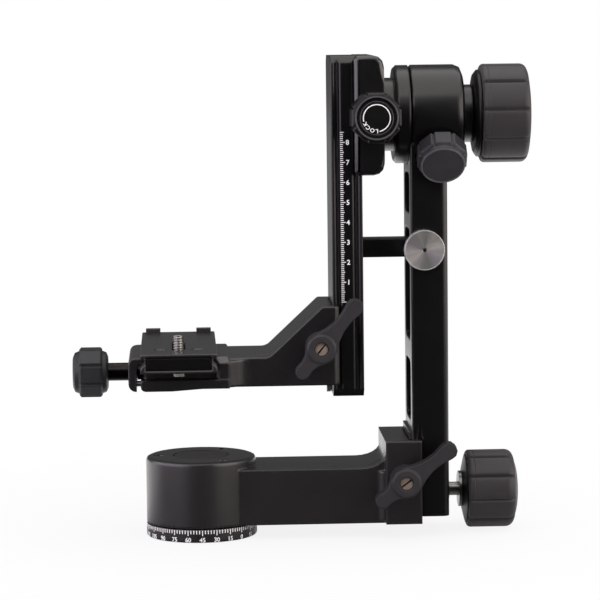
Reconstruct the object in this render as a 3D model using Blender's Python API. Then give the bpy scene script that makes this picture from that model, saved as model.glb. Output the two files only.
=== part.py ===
"""Gimbal tripod head: an L-shaped arm that pans, and a swinging rail that carries the camera plate.

Metres, +Z up. The origin is the middle of the face that sits on the tripod, on the pan axis. +X points
along the arm to the upright, and -Y is the front, where the levers and the lock knob are.
"""
import bpy
import bmesh
from math import atan2, cos, hypot, pi, radians, sin, sqrt
from mathutils import Matrix, Vector

# Shared fits
SEAT_GAP = 0.0003
RUN_GAP = 0.0004
SEAM_GAP = 0.0006
LOOSE_GAP = 0.0006
TOUCH = 0.00003
OVERRUN = 0.003
EDGE_BREAK = 0.0009
SAW_CUT = 0.0008
# Arm, upright and rail are milled from one width of bar, and the three split clamps from a wider one
PROFILE_HALF = 0.0210
CLAMP_HALF = 0.0260
JAW_LEAF = 0.0120
# V-groove of the dovetails
GROOVE_WIDTH = 0.0030
GROOVE_DEPTH = 0.0020

# Base ring and pan spindle, whose boss holds the tripod's stud
BASE_RADIUS = 0.0281
RING_HEIGHT = 0.0067
RING_BREAK = 0.0005
STUD_HOLE_RADIUS = 0.0047
STUD_HOLE_DEPTH = 0.0105
BOSS_RADIUS = 0.0078
SPINDLE_FLANGE_RADIUS = 0.0200
SPINDLE_FLANGE = 0.0025
SPINDLE_RADIUS = 0.0120
SPINDLE_SHOULDER = 0.0312
SPINDLE_NECK_RADIUS = 0.0092
SPINDLE_TOP = 0.0358
# Pan bearing, bush and nut
BEARING_LOW = 0.0100
BEARING_HIGH = 0.0154
INNER_RACE = 0.0022
OUTER_RACE = 0.0026
BALL_RADIUS = 0.0014
BALL_COUNT = 10
BALL_PLAY = 0.0002
CAGE_WALL = 0.0009
# Places along one ball and its share of the cage, with the radius there
BEAD_FORM = ((0, CAGE_WALL / 2), (0.33, BALL_RADIUS), (0.67, BALL_RADIUS))
BUSH_WALL = 0.0028
BUSH_LOW = 0.0258
NUT_RADIUS = 0.0128
NUT_HEIGHT = 0.0036

# Base arm: housing, arm and end block
HOUSING_RADIUS = 0.0280
HOUSING_TOP = 0.0405
HOUSING_EDGE = 0.0020
ARM_BOTTOM = 0.0072
ARM_TOP = 0.0354
ARM_EDGE = 0.0016
BLOCK_LEFT = 0.0927
BLOCK_RIGHT = 0.1109
BLOCK_TOP = 0.0494
BLOCK_FILLET = 0.0046
# The arm's top sweeps up to the block along this run, to this share of the block's height above it
BLOCK_SWEEP_RUN = 0.0125
BLOCK_SWEEP_SHARE = 0.48
ARM_SLIT_START = 0.0660
CAP_RADIUS = 0.0140
CAP_THICKNESS = 0.0016
CAP_SCREW_COUNT = 3
CAP_SCREW_CIRCLE = 0.0215
CAP_SCREW_RADIUS = 0.0023
CAP_SCREW_DEPTH = 0.0060
CAP_SCREW_SUNK = 0.0006
CAP_KEY_RADIUS = 0.0012

# Pan lock: knob, rod and clamp shoe
PAN_LOCK_HEIGHT = 0.0206
ROD_RADIUS = 0.0035
ROD_NOSE_RADIUS = 0.0020
ROD_NOSE = 0.0037
ROD_END_WALL = 0.0060
SHOE_RADIUS = 0.0045
SHOE_LENGTH = 0.0080
SHOE_PLAY = 0.0005
SHOE_BACKLASH = 0.0010
NEAR_WASHER_RADIUS = 0.0053
NEAR_WASHER = 0.0012
FAR_WASHER_RADIUS = 0.0092
FAR_WASHER = 0.0014
KNOB_START = 0.1332
KNOB_HUB_RADIUS = 0.0100
KNOB_HUB_CONE = 0.0022
KNOB_LENGTH = 0.0261
KNOB_RADIUS = 0.0199
KNOB_CORNER = 0.0045
KNOB_DOME = 0.0018
KNOB_DOME_SHARE = 0.4
KNOB_BACK_ROUND = 0.0020
KNOB_GRIP_WALL = 0.0045
KNOB_VALLEY_ANGLE = radians(153)
LOBE_COUNT = 10
LOBE_VALLEY = 0.0009
# Places round one lobe, and how much of the valley's depth each has
LOBE_FORM = ((0, 1), (0.08, 0.5), (0.2, 0), (0.5, 0), (0.8, 0), (0.92, 0.5))

# Upright with hub housing
UPRIGHT_LEFT = 0.1065
UPRIGHT_RIGHT = 0.1252
UPRIGHT_BOTTOM = 0.0101
UPRIGHT_ROUND = 0.0033
FOOT_FLANGE = 0.0015
FOOT_FLANGE_HALF = 0.0190
FOOT_FLANGE_TOP = 0.0535
FOOT_GROOVE_START = 0.1089
FOOT_GROOVE_TOP = 0.0585
FOOT_RUN_OUT = 0.0090
FOOT_SLOT_GAP = 0.0007
WINDOW_HALF = 0.0140
WINDOW_CORNER = 0.0040
LOWER_WINDOW = (0.0580, 0.0889)
MIDDLE_WINDOW_BOTTOM = 0.0991
LATCH_TO_MIDDLE_WINDOW_TOP = 0.0099
LATCH_TO_UPPER_WINDOW = 0.0177
UPPER_WINDOW_TO_TILT = 0.0290
TILT_HEIGHT = 0.2126
HUB_LEFT = 0.1075
HUB_RIGHT = 0.1343
HUB_RADIUS = 0.0249
HUB_ROUND = 0.0045
HUB_BORE = 0.0150
HUB_WAIST = 0.0120
TILT_BEARING = 0.0068
TILT_BEARING_SET_BACK = 0.0011
END_CAP_RADIUS = 0.0146
END_CAP_RIGHT = 0.1392
END_CAP_SPIGOT = 0.0023

# Swinging side
TILT_SHAFT_RADIUS = 0.0080
TILT_SHAFT_LEFT = 0.0923
TILT_SHAFT_RIGHT = 0.1318
COLLAR_RADIUS = 0.0248
COLLAR_LEFT = 0.0994
COLLAR_BREAK = 0.0015
NECK_RADIUS = 0.0185
RAIL_CLAMP_LEFT = 0.0785
RAIL_CLAMP_RIGHT = 0.0935
RAIL_CLAMP_DROP = 0.0295
RAIL_CLAMP_RISE = 0.0302
RAIL_CLAMP_CORNER = 0.0055
RAIL_CLAMP_EDGE = 0.0022
RAIL_CLAMP_HINGE = 0.0027
CLAMP_SCREW_RISE = 0.0133
CLAMP_SCREW_HEAD = 0.0030
CLAMP_SCREW_SHANK = 0.0017
CLAMP_SCREW_HEAD_DEPTH = 0.0030
CLAMP_SCREW_REACH = 0.0060

# Tilt lock knob
TILT_KNOB_FLANGE_LEFT = 0.1397
TILT_KNOB_FLANGE_RADIUS = 0.0220
TILT_KNOB_LEFT = 0.1435
TILT_KNOB_RIGHT = 0.1685
TILT_KNOB_RADIUS = 0.0249
TILT_KNOB_CORNER = 0.0035
TILT_KNOB_DOME = 0.0013
TILT_KNOB_BACK_CONE = 0.0005
TILT_VALLEY_ANGLE = radians(174)
BRAKE_RADIUS = 0.0072
BRAKE_THICKNESS = 0.0026
BRAKE_PLAY = 0.0006
LOCK_SCREW_RADIUS = 0.0040
KNOB_SCREW_DEPTH = 0.0120

# Notched knobs: rail lock, drag control and quick release
NOTCHED_FLATS = 0.0245
NOTCH_WIDTH = 0.0021
NOTCH_DEPTH = 0.0016
NOTCHED_EDGE = 0.0009
KNOB_OVERLAP = 0.0018
KNOB_FACE_WALL = 0.0027
LOCK_KNOB_X = 0.0880
LOCK_KNOB_REACH = 0.0500
LOCK_KNOB_NECK = 0.0018
LOCK_KNOB_NECK_RADIUS = 0.0080
LOCK_RIM_RADIUS = 0.0112
LOCK_RIM_WALL = 0.0014
LOCK_RIM_STEP = 0.0008
LOCK_BOLT_RADIUS = 0.0025
LOCK_BOLT_HEAD = 0.0050
LOCK_BOLT_HEAD_DEPTH = 0.0030
DRAG_X = 0.1218
DRAG_TILT = radians(36.87)
DRAG_BODY_START = 0.0285
DRAG_BODY_END = 0.0382
DRAG_RELIEF_RADIUS = 0.0133
DRAG_CAP_END = 0.0410
DRAG_CAP_RADIUS = 0.0112
DRAG_SCREW_RADIUS = 0.0025
DRAG_SHOE_RADIUS = 0.0030
DRAG_SCREW_START = 0.0132
DRAG_PLAY = 0.0004

# Latch
LATCH_X = 0.1130
LATCH_TO_TILT = 0.0671
LATCH_HALF = 0.0048
LATCH_WIDTH_HALF = 0.0060
LATCH_TIP_GAP = 0.0005
LATCH_BOLT_WALL = 0.0027
LATCH_BORE_WALL = 0.0018
LATCH_BOLT_RADIUS = 0.0028
LATCH_SPACER_RADIUS = 0.0044
THUMB_RADIUS = 0.0102
THUMB_THICKNESS = 0.0050
THUMB_DIMPLE_RADIUS = 0.0011
THUMB_DIMPLE = 0.0012
THUMB_EDGE = 0.0005

# Rail
RAIL_LEFT = 0.0670
RAIL_RIGHT = 0.0825
RAIL_BOTTOM = 0.0718
RAIL_RISE = 0.0301
RAIL_FLANGE = 0.0017
RAIL_END_BEVEL = 0.0034
STOP_SCREW_RISE = 0.0022
STOP_SCREW_RADIUS = 0.0022
STOP_SCREW_HEAD = 0.0020
STOP_SCREW_SHANK = 0.0012
STOP_SCREW_REACH = 0.0050

# Platform
BRACKET_RIGHT = 0.0700
BRACKET_PEAK_X = 0.0615
BRACKET_PEAK = 0.1180
BRACKET_PEAK_ROUND = 0.0018
BRACKET_KNEE_X = 0.0346
BRACKET_KNEE_ROUND = 0.0060
BRACKET_DECK = 0.0930
BRACKET_BOTTOM = 0.0785
BRACKET_END_BEVEL = 0.0021
BRACKET_SLIT_START = 0.0280
NECK_BLEND_START = 0.0147
NECK_BLEND_END = 0.0250
BED_LEFT = -0.0296
BED_HALF = 0.0310
BED_TOP = 0.0830
BED_BOTTOM = 0.0774
BED_THICK_END = -0.0140
BED_THIN_START = 0.0010
BED_CORNER = 0.0024
BED_DROP = 0.0001
FLOOR_HALF = 0.0265
FLOOR_RIGHT = 0.0117
FLOOR_CORNER = 0.0030
JAW_LIP = 0.0012
FIXED_JAW_BEVEL = 0.0030
FIXED_JAW_RIGHT = 0.0147

# Quick-release jaw and knob
JAW_LEFT = -0.0357
JAW_INNER = -0.0316
JAW_BOTTOM = 0.0773
JAW_HALF = 0.0300
JAW_CORNER = 0.0070
JAW_BROW = 0.0030
JAW_FOOT = 0.0038
QR_HEIGHT = 0.0839
QR_SHAFT_RADIUS = 0.0046
QR_THREAD_RADIUS = 0.0030
QR_THREAD_DEPTH = 0.0180
QR_GRIP_LEFT = -0.0609
QR_GRIP_RIGHT = -0.0493
QR_END_LEFT = -0.0642
QR_END_RIGHT = -0.0463
QR_END_RADIUS = 0.0109
GUIDE_PIN_SPREAD = 0.0200
GUIDE_PIN_RADIUS = 0.0015
GUIDE_PIN_DEPTH = 0.0120
GUIDE_PIN_HEIGHT = 0.0802
# Lugs on the bed, on either side of the screw, where the jaw stops when no plate is in it
JAW_STOP_HALF = 0.0165
JAW_STOP_DROP = 0.0021
JAW_STOP_RISE = 0.0029

# Camera plate
PLATE_X = -0.0105
PLATE_HALF = 0.0190
PLATE_FRONT = -0.0470
PLATE_LENGTH = 0.1000
PLATE_BOTTOM = 0.0883
PLATE_TOP = 0.0978
PLATE_FLANGE = 0.0026
PLATE_NOTCH = 0.0020
PLATE_WAIST = 0.0020
PLATE_EDGE = 0.0004
LABEL_EDGE = 0.0012
LABEL_DEPTH = 0.0007
CAMERA_SCREW_Y = -0.0260
CAMERA_SCREW_RADIUS = 0.0031
CAMERA_SCREW_RISE = 0.0072
CAMERA_SCREW_HEAD = 0.0068
CAMERA_SCREW_HEAD_DEPTH = 0.0030
CAMERA_SLOT_END = 0.0060
PIN_HOLE_RADIUS = 0.0032
PIN_HOLE_OFFSET = 0.0094
PIN_HOLE_DEPTH = 0.0012
STOP_WIDTH = 0.0076
STOP_OFFSET = 0.0132
STOP_DEPTH = 0.0042
STOP_RISE = 0.0024
STOP_SUNK = 0.0012
STOP_BACK = 0.0020
SAFETY_RADIUS = 0.0027
SAFETY_HEAD = 0.0024
SAFETY_SHANK = 0.0013
SAFETY_REACH = 0.0040
SAFETY_FRONT = 0.0115
SAFETY_REAR = 0.0050

# Levers
LOWER_PIVOT_X = 0.1019
LOWER_PIVOT_Z = 0.0304
LOWER_LEVER_ANGLE = radians(36.6)
UPPER_PIVOT_X = 0.0602
UPPER_PIVOT_SHARE = 0.5038
UPPER_LEVER_ANGLE = radians(50.5)
LEVER_FRONT = 0.0420
LEVER_THICKNESS = 0.0090
LEVER_BOSS = 0.0078
LEVER_RIM = 0.0073
LEVER_STEP = 0.0012
LEVER_TIP = 0.0042
LEVER_REACH = 0.0266
LEVER_FILLET = 0.0270
LEVER_HEEL = 0.0036
LEVER_HEEL_REACH = 0.0149
LEVER_HEEL_FILLET = 0.0095
LEVER_EDGE = 0.0007
LEVER_SCREW_RADIUS = 0.0032
LEVER_SCREW_HEAD = 0.0016
LEVER_SCREW_SHANK = 0.0013
LEVER_SCREW_REACH = 0.0032
LEVER_SCREW_SLOT = 0.0009
LEVER_SCREW_SLOT_DEPTH = 0.0008
LEVER_RECESS = 0.0014
BOLT_RADIUS = 0.0020
BOLT_HEAD_RADIUS = 0.0048
BOLT_HEAD = 0.0026
BOLT_SOCKET = 0.0020

# Places that follow from the sizes above
BLOCK_SWEEP_RISE = BLOCK_SWEEP_SHARE * (BLOCK_TOP - ARM_TOP)
RAIL_CLAMP_BOTTOM = TILT_HEIGHT - RAIL_CLAMP_DROP
RAIL_CLAMP_TOP = TILT_HEIGHT + RAIL_CLAMP_RISE
RAIL_TOP = TILT_HEIGHT + RAIL_RISE
LATCH_HEIGHT = TILT_HEIGHT - LATCH_TO_TILT
MIDDLE_WINDOW = (MIDDLE_WINDOW_BOTTOM, LATCH_HEIGHT + LATCH_TO_MIDDLE_WINDOW_TOP)
UPPER_WINDOW = (LATCH_HEIGHT + LATCH_TO_UPPER_WINDOW, TILT_HEIGHT - UPPER_WINDOW_TO_TILT)
STOP_SCREW_HEIGHT = RAIL_BOTTOM + STOP_SCREW_RISE
UPPER_PIVOT_Z = BRACKET_BOTTOM + (BRACKET_PEAK - BRACKET_BOTTOM) * UPPER_PIVOT_SHARE
RAIL_MIDDLE = (RAIL_LEFT + RAIL_RIGHT) / 2
SPINDLE_LOW = RING_HEIGHT + SEAT_GAP
SHOE_LEFT = SPINDLE_RADIUS + SHOE_PLAY
SHOE_RIGHT = SHOE_LEFT + SHOE_LENGTH
ROD_LEFT = SHOE_RIGHT + SHOE_BACKLASH
NEAR_WASHER_LEFT = UPRIGHT_RIGHT + SEAT_GAP
FAR_WASHER_LEFT = KNOB_START - SEAT_GAP - FAR_WASHER
KNOB_BODY = KNOB_START + KNOB_HUB_CONE
KNOB_RIGHT = KNOB_BODY + KNOB_LENGTH
WAISTED_HALF = PROFILE_HALF - GROOVE_DEPTH
LIP_GAP = SEAT_GAP * hypot(GROOVE_WIDTH / 2, GROOVE_DEPTH) / (GROOVE_WIDTH / 2)
FOOT_LEFT = UPRIGHT_LEFT - FOOT_FLANGE
CAP_LOW = HOUSING_TOP - CAP_THICKNESS
DRAG_AXIS = Vector((0, -cos(DRAG_TILT), -sin(DRAG_TILT)))
SHAFT_SHOULDER_LEFT = HUB_LEFT + TILT_BEARING_SET_BACK
RIGHT_BEARING_LEFT = HUB_RIGHT - END_CAP_SPIGOT - SEAT_GAP - TILT_BEARING
BRAKE_LEFT = TILT_SHAFT_RIGHT + BRAKE_PLAY
TILT_SCREW_LEFT = BRAKE_LEFT + BRAKE_THICKNESS + SEAT_GAP
DOVETAIL_WAIST = PLATE_HALF - PLATE_NOTCH
DOVETAIL_LOW = PLATE_BOTTOM + PLATE_FLANGE
DOVETAIL_APEX = DOVETAIL_LOW + PLATE_NOTCH
JAW_TIP_HALF = DOVETAIL_WAIST + LOOSE_GAP
JAW_TOP = DOVETAIL_APEX + JAW_LIP

# Every moving body, with the body that carries it and a point on its joint's axis
BODIES = {
    "base": (None, Vector((0, 0, 0))),
    "arm": ("base", Vector((0, 0, 0))),
    "pan_lock": ("arm", Vector((KNOB_START, 0, PAN_LOCK_HEIGHT))),
    "pan_shoe": ("arm", Vector((SHOE_LEFT, 0, PAN_LOCK_HEIGHT))),
    "foot_lever": ("arm", Vector((LOWER_PIVOT_X, -CLAMP_HALF, LOWER_PIVOT_Z))),
    "upright": ("arm", Vector((UPRIGHT_LEFT, 0, UPRIGHT_BOTTOM))),
    "latch": ("upright", Vector((LATCH_X, 0, LATCH_HEIGHT))),
    "latch_screw": ("upright", Vector((LATCH_X, -PROFILE_HALF, LATCH_HEIGHT))),
    "tilt_lock": ("upright", Vector((TILT_KNOB_LEFT, 0, TILT_HEIGHT))),
    "tilt_brake": ("upright", Vector((BRAKE_LEFT, 0, TILT_HEIGHT))),
    "drag": ("upright", Vector((DRAG_X, 0, TILT_HEIGHT)) + DRAG_AXIS * HUB_RADIUS),
    "drag_shoe": ("upright", Vector((DRAG_X, 0, TILT_HEIGHT)) + DRAG_AXIS * TILT_SHAFT_RADIUS),
    "swing": ("upright", Vector((HUB_LEFT, 0, TILT_HEIGHT))),
    "rail_lock": ("swing", Vector((LOCK_KNOB_X, -CLAMP_HALF, TILT_HEIGHT))),
    "rail": ("swing", Vector((RAIL_MIDDLE, 0, RAIL_TOP))),
    "platform": ("rail", Vector((RAIL_LEFT, 0, BRACKET_BOTTOM))),
    "platform_lever": ("platform", Vector((UPPER_PIVOT_X, -CLAMP_HALF, UPPER_PIVOT_Z))),
    "jaw": ("platform", Vector((JAW_INNER, 0, QR_HEIGHT))),
    "jaw_knob": ("jaw", Vector((QR_GRIP_RIGHT, 0, QR_HEIGHT))),
    "plate": ("platform", Vector((PLATE_X, 0, PLATE_BOTTOM))),
    "camera_screw": ("plate", Vector((PLATE_X, CAMERA_SCREW_Y, PLATE_TOP))),
}


def clear_scene():
    """Take everything out of the open scene."""
    for thing in list(bpy.data.objects):
        bpy.data.objects.remove(thing, do_unlink=True)


def finish_of(name, colour, roughness, metallic):
    """One Principled material."""
    material = bpy.data.materials.new(name)
    material.use_nodes = True
    shader = material.node_tree.nodes["Principled BSDF"]
    shader.inputs["Base Color"].default_value = (*colour, 1)
    shader.inputs["Roughness"].default_value = roughness
    shader.inputs["Metallic"].default_value = metallic
    return material


def make_finishes():
    """The finishes that the head has."""
    return {
        "anodised": finish_of("black_anodised_aluminium", (0.035, 0.034, 0.038), 0.45, 0.6),
        "dark_anodised": finish_of("satin_black_anodised", (0.02, 0.02, 0.023), 0.5, 0.5),
        "rubber": finish_of("matt_black_rubber", (0.045, 0.044, 0.045), 0.8, 0.0),
        "nylon": finish_of("dark_grey_nylon", (0.07, 0.068, 0.072), 0.6, 0.0),
        "plastic": finish_of("black_moulded_plastic", (0.05, 0.05, 0.055), 0.5, 0.0),
        "steel": finish_of("stainless_steel", (0.62, 0.61, 0.58), 0.25, 1.0),
        "turned": finish_of("turned_aluminium", (0.78, 0.77, 0.75), 0.3, 1.0),
        "brass": finish_of("brass", (0.6, 0.45, 0.2), 0.35, 1.0),
        "bronze": finish_of("sintered_bronze", (0.4, 0.27, 0.15), 0.5, 1.0),
        "white_nylon": finish_of("white_nylon", (0.75, 0.74, 0.7), 0.6, 0.0),
    }


def make_bodies():
    """An empty on each joint's axis, parented to the empty of the body that carries it."""
    empties = {}
    for name, (carrier, point) in BODIES.items():
        empty = bpy.data.objects.new(name + "_axis", None)
        bpy.context.scene.collection.objects.link(empty)
        empty.location = point
        if carrier:
            empty.parent = empties[carrier]
            empty.location = point - BODIES[carrier][1]
        empties[name] = empty
    return empties


def add_piece(name, shape, material, body):
    """Put a shape that was drawn in place into the scene, as one piece of a body."""
    shape.normal_update()
    bmesh.ops.recalc_face_normals(shape, faces=shape.faces)
    bmesh.ops.translate(shape, vec=-BODIES[body][1], verts=shape.verts)
    mesh = bpy.data.meshes.new(name)
    shape.to_mesh(mesh)
    shape.free()
    mesh.shade_smooth()
    mesh.set_sharp_from_angle(angle=radians(32))
    piece = bpy.data.objects.new(name, mesh)
    bpy.context.scene.collection.objects.link(piece)
    piece.parent = EMPTIES[body]
    if material:
        mesh.materials.append(FINISHES[material])
    return piece


def change(piece, operation, shape, body, label):
    """Cut a shape from a piece, or join it on, with a Boolean modifier."""
    tool = add_piece(piece.name + "_" + label, shape, None, body)
    tool.display_type = "WIRE"
    tool.hide_render = True
    step = piece.modifiers.new(label, "BOOLEAN")
    step.operation = operation
    step.solver = "EXACT"
    step.object = tool
    return tool


def cut(piece, shape, body, label):
    """Cut a shape out of a piece."""
    return change(piece, "DIFFERENCE", shape, body, label)


def join(piece, shape, body, label):
    """Join a shape onto a piece."""
    return change(piece, "UNION", shape, body, label)


def together(*shapes):
    """One shape that holds several."""
    whole = bmesh.new()
    for shape in shapes:
        mesh = bpy.data.meshes.new("part_of_shape")
        shape.to_mesh(mesh)
        shape.free()
        whole.from_mesh(mesh)
        bpy.data.meshes.remove(mesh)
    return whole


def turned(profile, direction, centre, steps):
    """Turn a profile of (distance, radius) points round an axis. A loop that never meets it is a ring."""
    shape = bmesh.new()
    turn = Vector(direction).to_track_quat("Z", "Y").to_matrix()
    rings = []
    for along, radius in profile:
        if radius == 0:
            rings.append([shape.verts.new(Vector(centre) + turn @ Vector((0, 0, along)))])
            continue
        angles = [2 * pi * step / steps for step in range(steps)]
        places = [Vector((radius * cos(a), radius * sin(a), along)) for a in angles]
        rings.append([shape.verts.new(Vector(centre) + turn @ place) for place in places])
    solid = len(rings[0]) == 1 and len(rings[-1]) == 1
    pairs = list(zip(rings, rings[1:] if solid else rings[1:] + rings[:1]))
    for near, far in pairs:
        for step in range(steps):
            after = (step + 1) % steps
            corners = [near[0]] if len(near) == 1 else [near[step], near[after]]
            corners += [far[0]] if len(far) == 1 else [far[after], far[step]]
            shape.faces.new(corners)
    return shape


def rod(start, end, radius, direction, centre, steps):
    """A plain round bar."""
    return turned([(start, 0), (start, radius), (end, radius), (end, 0)], direction, centre, steps)


def ring(low, high, inner, outer, direction, centre, steps):
    """A plain ring."""
    return turned([(low, inner), (low, outer), (high, outer), (high, inner)], direction, centre, steps)


def loft(rings):
    """Skin a row of closed loops that have the same number of points, and close both ends."""
    shape = bmesh.new()
    loops = [[shape.verts.new(point) for point in loop] for loop in rings]
    for near, far in zip(loops, loops[1:]):
        for step in range(len(near)):
            after = (step + 1) % len(near)
            shape.faces.new((near[step], near[after], far[after], far[step]))
    shape.faces.new(loops[0])
    shape.faces.new(loops[-1])
    return shape


def closed_loft(rings):
    """Skin a row of closed loops whose last meets its first, like beads on a ring."""
    shape = bmesh.new()
    loops = [[shape.verts.new(point) for point in loop] for loop in rings]
    for near, far in zip(loops, loops[1:] + loops[:1]):
        for step in range(len(near)):
            after = (step + 1) % len(near)
            shape.faces.new((near[step], near[after], far[after], far[step]))
    return shape


def at_height(outline, axis, height):
    """A flat outline as points in space. Its pairs are the other two coordinates, in order."""
    index = "XYZ".index(axis)
    return [(*pair[:index], height, *pair[index:]) for pair in outline]


def prism(outline, axis, low, high):
    """Push a flat outline along an axis."""
    return loft([at_height(outline, axis, low), at_height(outline, axis, high)])


def block(x_span, y_span, z_span):
    """A square-edged block."""
    (left, right), (front, back) = x_span, y_span
    return prism([(left, front), (right, front), (right, back), (left, back)], "Z", *z_span)


def arc(centre, radius, start, end, steps):
    """Points along an arc, from one angle to another."""
    return [(centre[0] + radius * cos(start + (end - start) * step / steps),
             centre[1] + radius * sin(start + (end - start) * step / steps)) for step in range(steps + 1)]


def rounded(corners, steps=4):
    """An outline whose corners (a, b, radius) are rounded off."""
    points = []
    for index, (a, b, radius) in enumerate(corners):
        here = Vector((a, b))
        if radius == 0:
            points.append((a, b))
            continue
        before = (Vector(corners[index - 1][:2]) - here).normalized()
        after = (Vector(corners[(index + 1) % len(corners)][:2]) - here).normalized()
        half = before.angle(after) / 2
        middle = here + (before + after).normalized() * (radius / sin(half))
        first = here + before * (radius * cos(half) / sin(half)) - middle
        last = here + after * (radius * cos(half) / sin(half)) - middle
        start, end = atan2(first.y, first.x), atan2(last.y, last.x)
        sweep = (end - start + pi) % (2 * pi) - pi
        points += arc(middle, radius, start, start + sweep, steps)
    return points


def rounded_box_outline(low, high, radius, steps=4):
    """A rectangle between two corners, with its corners rounded."""
    return rounded([(low[0], low[1], radius), (high[0], low[1], radius),
                    (high[0], high[1], radius), (low[0], high[1], radius)], steps)


def soften(shape, width, steps, chosen):
    """Round the edges of a shape for which the test is true of their two ends."""
    edges = [edge for edge in shape.edges if chosen(edge.verts[0].co, edge.verts[1].co)
             and len(edge.link_faces) == 2 and edge.calc_face_angle(0) > radians(20)]
    bmesh.ops.bevel(shape, geom=edges, offset=width, segments=steps, profile=0.5, affect="EDGES",
                    clamp_overlap=True)
    return shape


def on_plane(axis, *places):
    """A test for edges that lie in one of the given planes square to an axis."""
    index = "XYZ".index(axis)
    return lambda a, b: any(abs(a[index] - place) < TOUCH and abs(b[index] - place) < TOUCH
                            for place in places)


def channel(floor, groove_start, way):
    """Plan of the space that a split clamp keeps round a dovetail, narrowed by the lips of its jaws."""
    half = PROFILE_HALF + SEAT_GAP
    slope = GROOVE_DEPTH / (GROOVE_WIDTH / 2)
    lip = WAISTED_HALF + LIP_GAP
    middle = groove_start + way * GROOVE_WIDTH / 2
    shoulder = middle - way * (half - lip) / slope
    mouth = middle + way * (CLAMP_HALF - lip) / slope
    side = [(floor, half), (shoulder, half), (middle, lip), (mouth, CLAMP_HALF)]
    return side + [(x, -y) for x, y in side[::-1]]


def lobed_grip(left, right, radius, bore, corner, dome, height, first_valley):
    """A rubber grip on an X axis: broad lobes with narrow valleys between, and a domed outer end."""
    shoulder = right - dome - corner
    stations = [(left, radius - KNOB_BACK_ROUND, 1), (left + KNOB_BACK_ROUND, radius, 1)]
    stations += [(shoulder + corner * sin(a), radius - corner * (1 - cos(a)), cos(a / 2))
                 for a in (0, pi / 4, pi / 2)]
    stations.append((right, (radius - corner) * KNOB_DOME_SHARE, 0))
    angles, depths = [], []
    for lobe in range(LOBE_COUNT):
        for place, depth in LOBE_FORM:
            angles.append(first_valley + 2 * pi * (lobe + place) / LOBE_COUNT)
            depths.append(depth * LOBE_VALLEY)
    rings = [[(along, bore * cos(a), height + bore * sin(a)) for a in angles]
             for along in (right - KNOB_GRIP_WALL, left)]
    for along, reach, share in stations:
        rings.append([(along, (reach - depth * share) * cos(a), height + (reach - depth * share) * sin(a))
                      for a, depth in zip(angles, depths)])
    return loft(rings)


def end_wedge(side, half, height, bevel, way, x_span):
    """What a bevel takes off the edge where an end face at this height meets a side face at half a width."""
    outside, reach = half + OVERRUN, bevel + 2 * OVERRUN
    level = height + way * OVERRUN
    corner = [(side * outside, level), (side * (outside - reach), level),
              (side * outside, level - way * reach)]
    return prism(corner, "X", *x_span)


def notched_outline(flats, inset):
    """An eight-sided outline with a V-notch in place of each corner."""
    reach = flats / 2 - inset
    corner = reach / cos(pi / 8)
    points = []
    for side in range(8):
        middle = pi / 4 * side
        half_flat = reach * sin(pi / 8) / cos(pi / 8) - NOTCH_WIDTH / 2
        for offset in (-half_flat, half_flat):
            points.append((reach * cos(middle) - offset * sin(middle),
                           reach * sin(middle) + offset * cos(middle)))
        edge = middle + pi / 8
        points.append(((corner - NOTCH_DEPTH) * cos(edge), (corner - NOTCH_DEPTH) * sin(edge)))
    return points


def notched_knob(start, end, direction, centre):
    """The body of a notched knob, with its end edges broken."""
    turn = Vector(direction).to_track_quat("Z", "Y").to_matrix()
    levels = [(start, NOTCHED_EDGE), (start + NOTCHED_EDGE, 0), (end - NOTCHED_EDGE, 0), (end, NOTCHED_EDGE)]
    return loft([[Vector(centre) + turn @ Vector((x, y, along))
                  for x, y in notched_outline(NOTCHED_FLATS, inset)] for along, inset in levels])


def lever_outline(pivot, angle):
    """A lever's face: boss, long arm with a round tip, and short heel, joined by hollow fillets."""

    def side(tip, reach, fillet):
        along = (reach ** 2 + (LEVER_BOSS + fillet) ** 2 - (tip + fillet) ** 2) / (2 * reach)
        across = sqrt((LEVER_BOSS + fillet) ** 2 - along ** 2)
        boss_angle = atan2(across, along)
        tip_angle = atan2(across, along - reach)
        return along, across, boss_angle, tip_angle

    along, across, boss_turn, tip_turn = side(LEVER_TIP, LEVER_REACH, LEVER_FILLET)
    heel_along, heel_across, heel_boss_turn, heel_turn = side(LEVER_HEEL, LEVER_HEEL_REACH, LEVER_HEEL_FILLET)
    points = arc((LEVER_REACH, 0), LEVER_TIP, -tip_turn, tip_turn, 6)
    points += arc((along, across), LEVER_FILLET, tip_turn - pi, boss_turn - pi, 4)[1:-1]
    points += arc((0, 0), LEVER_BOSS, boss_turn, pi - heel_boss_turn, 2)
    points += arc((-heel_along, heel_across), LEVER_HEEL_FILLET, -heel_boss_turn, -heel_turn, 3)[1:-1]
    points += arc((-LEVER_HEEL_REACH, 0), LEVER_HEEL, pi - heel_turn, pi + heel_turn, 6)
    points += arc((-heel_along, -heel_across), LEVER_HEEL_FILLET, heel_turn, heel_boss_turn, 3)[1:-1]
    points += arc((0, 0), LEVER_BOSS, pi + heel_boss_turn, 2 * pi - boss_turn, 2)
    points += arc((along, -across), LEVER_FILLET, pi - boss_turn, pi - tip_turn, 4)[1:-1]
    return [(pivot[0] + x * cos(angle) - y * sin(angle), pivot[1] + x * sin(angle) + y * cos(angle))
            for x, y in points]


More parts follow.
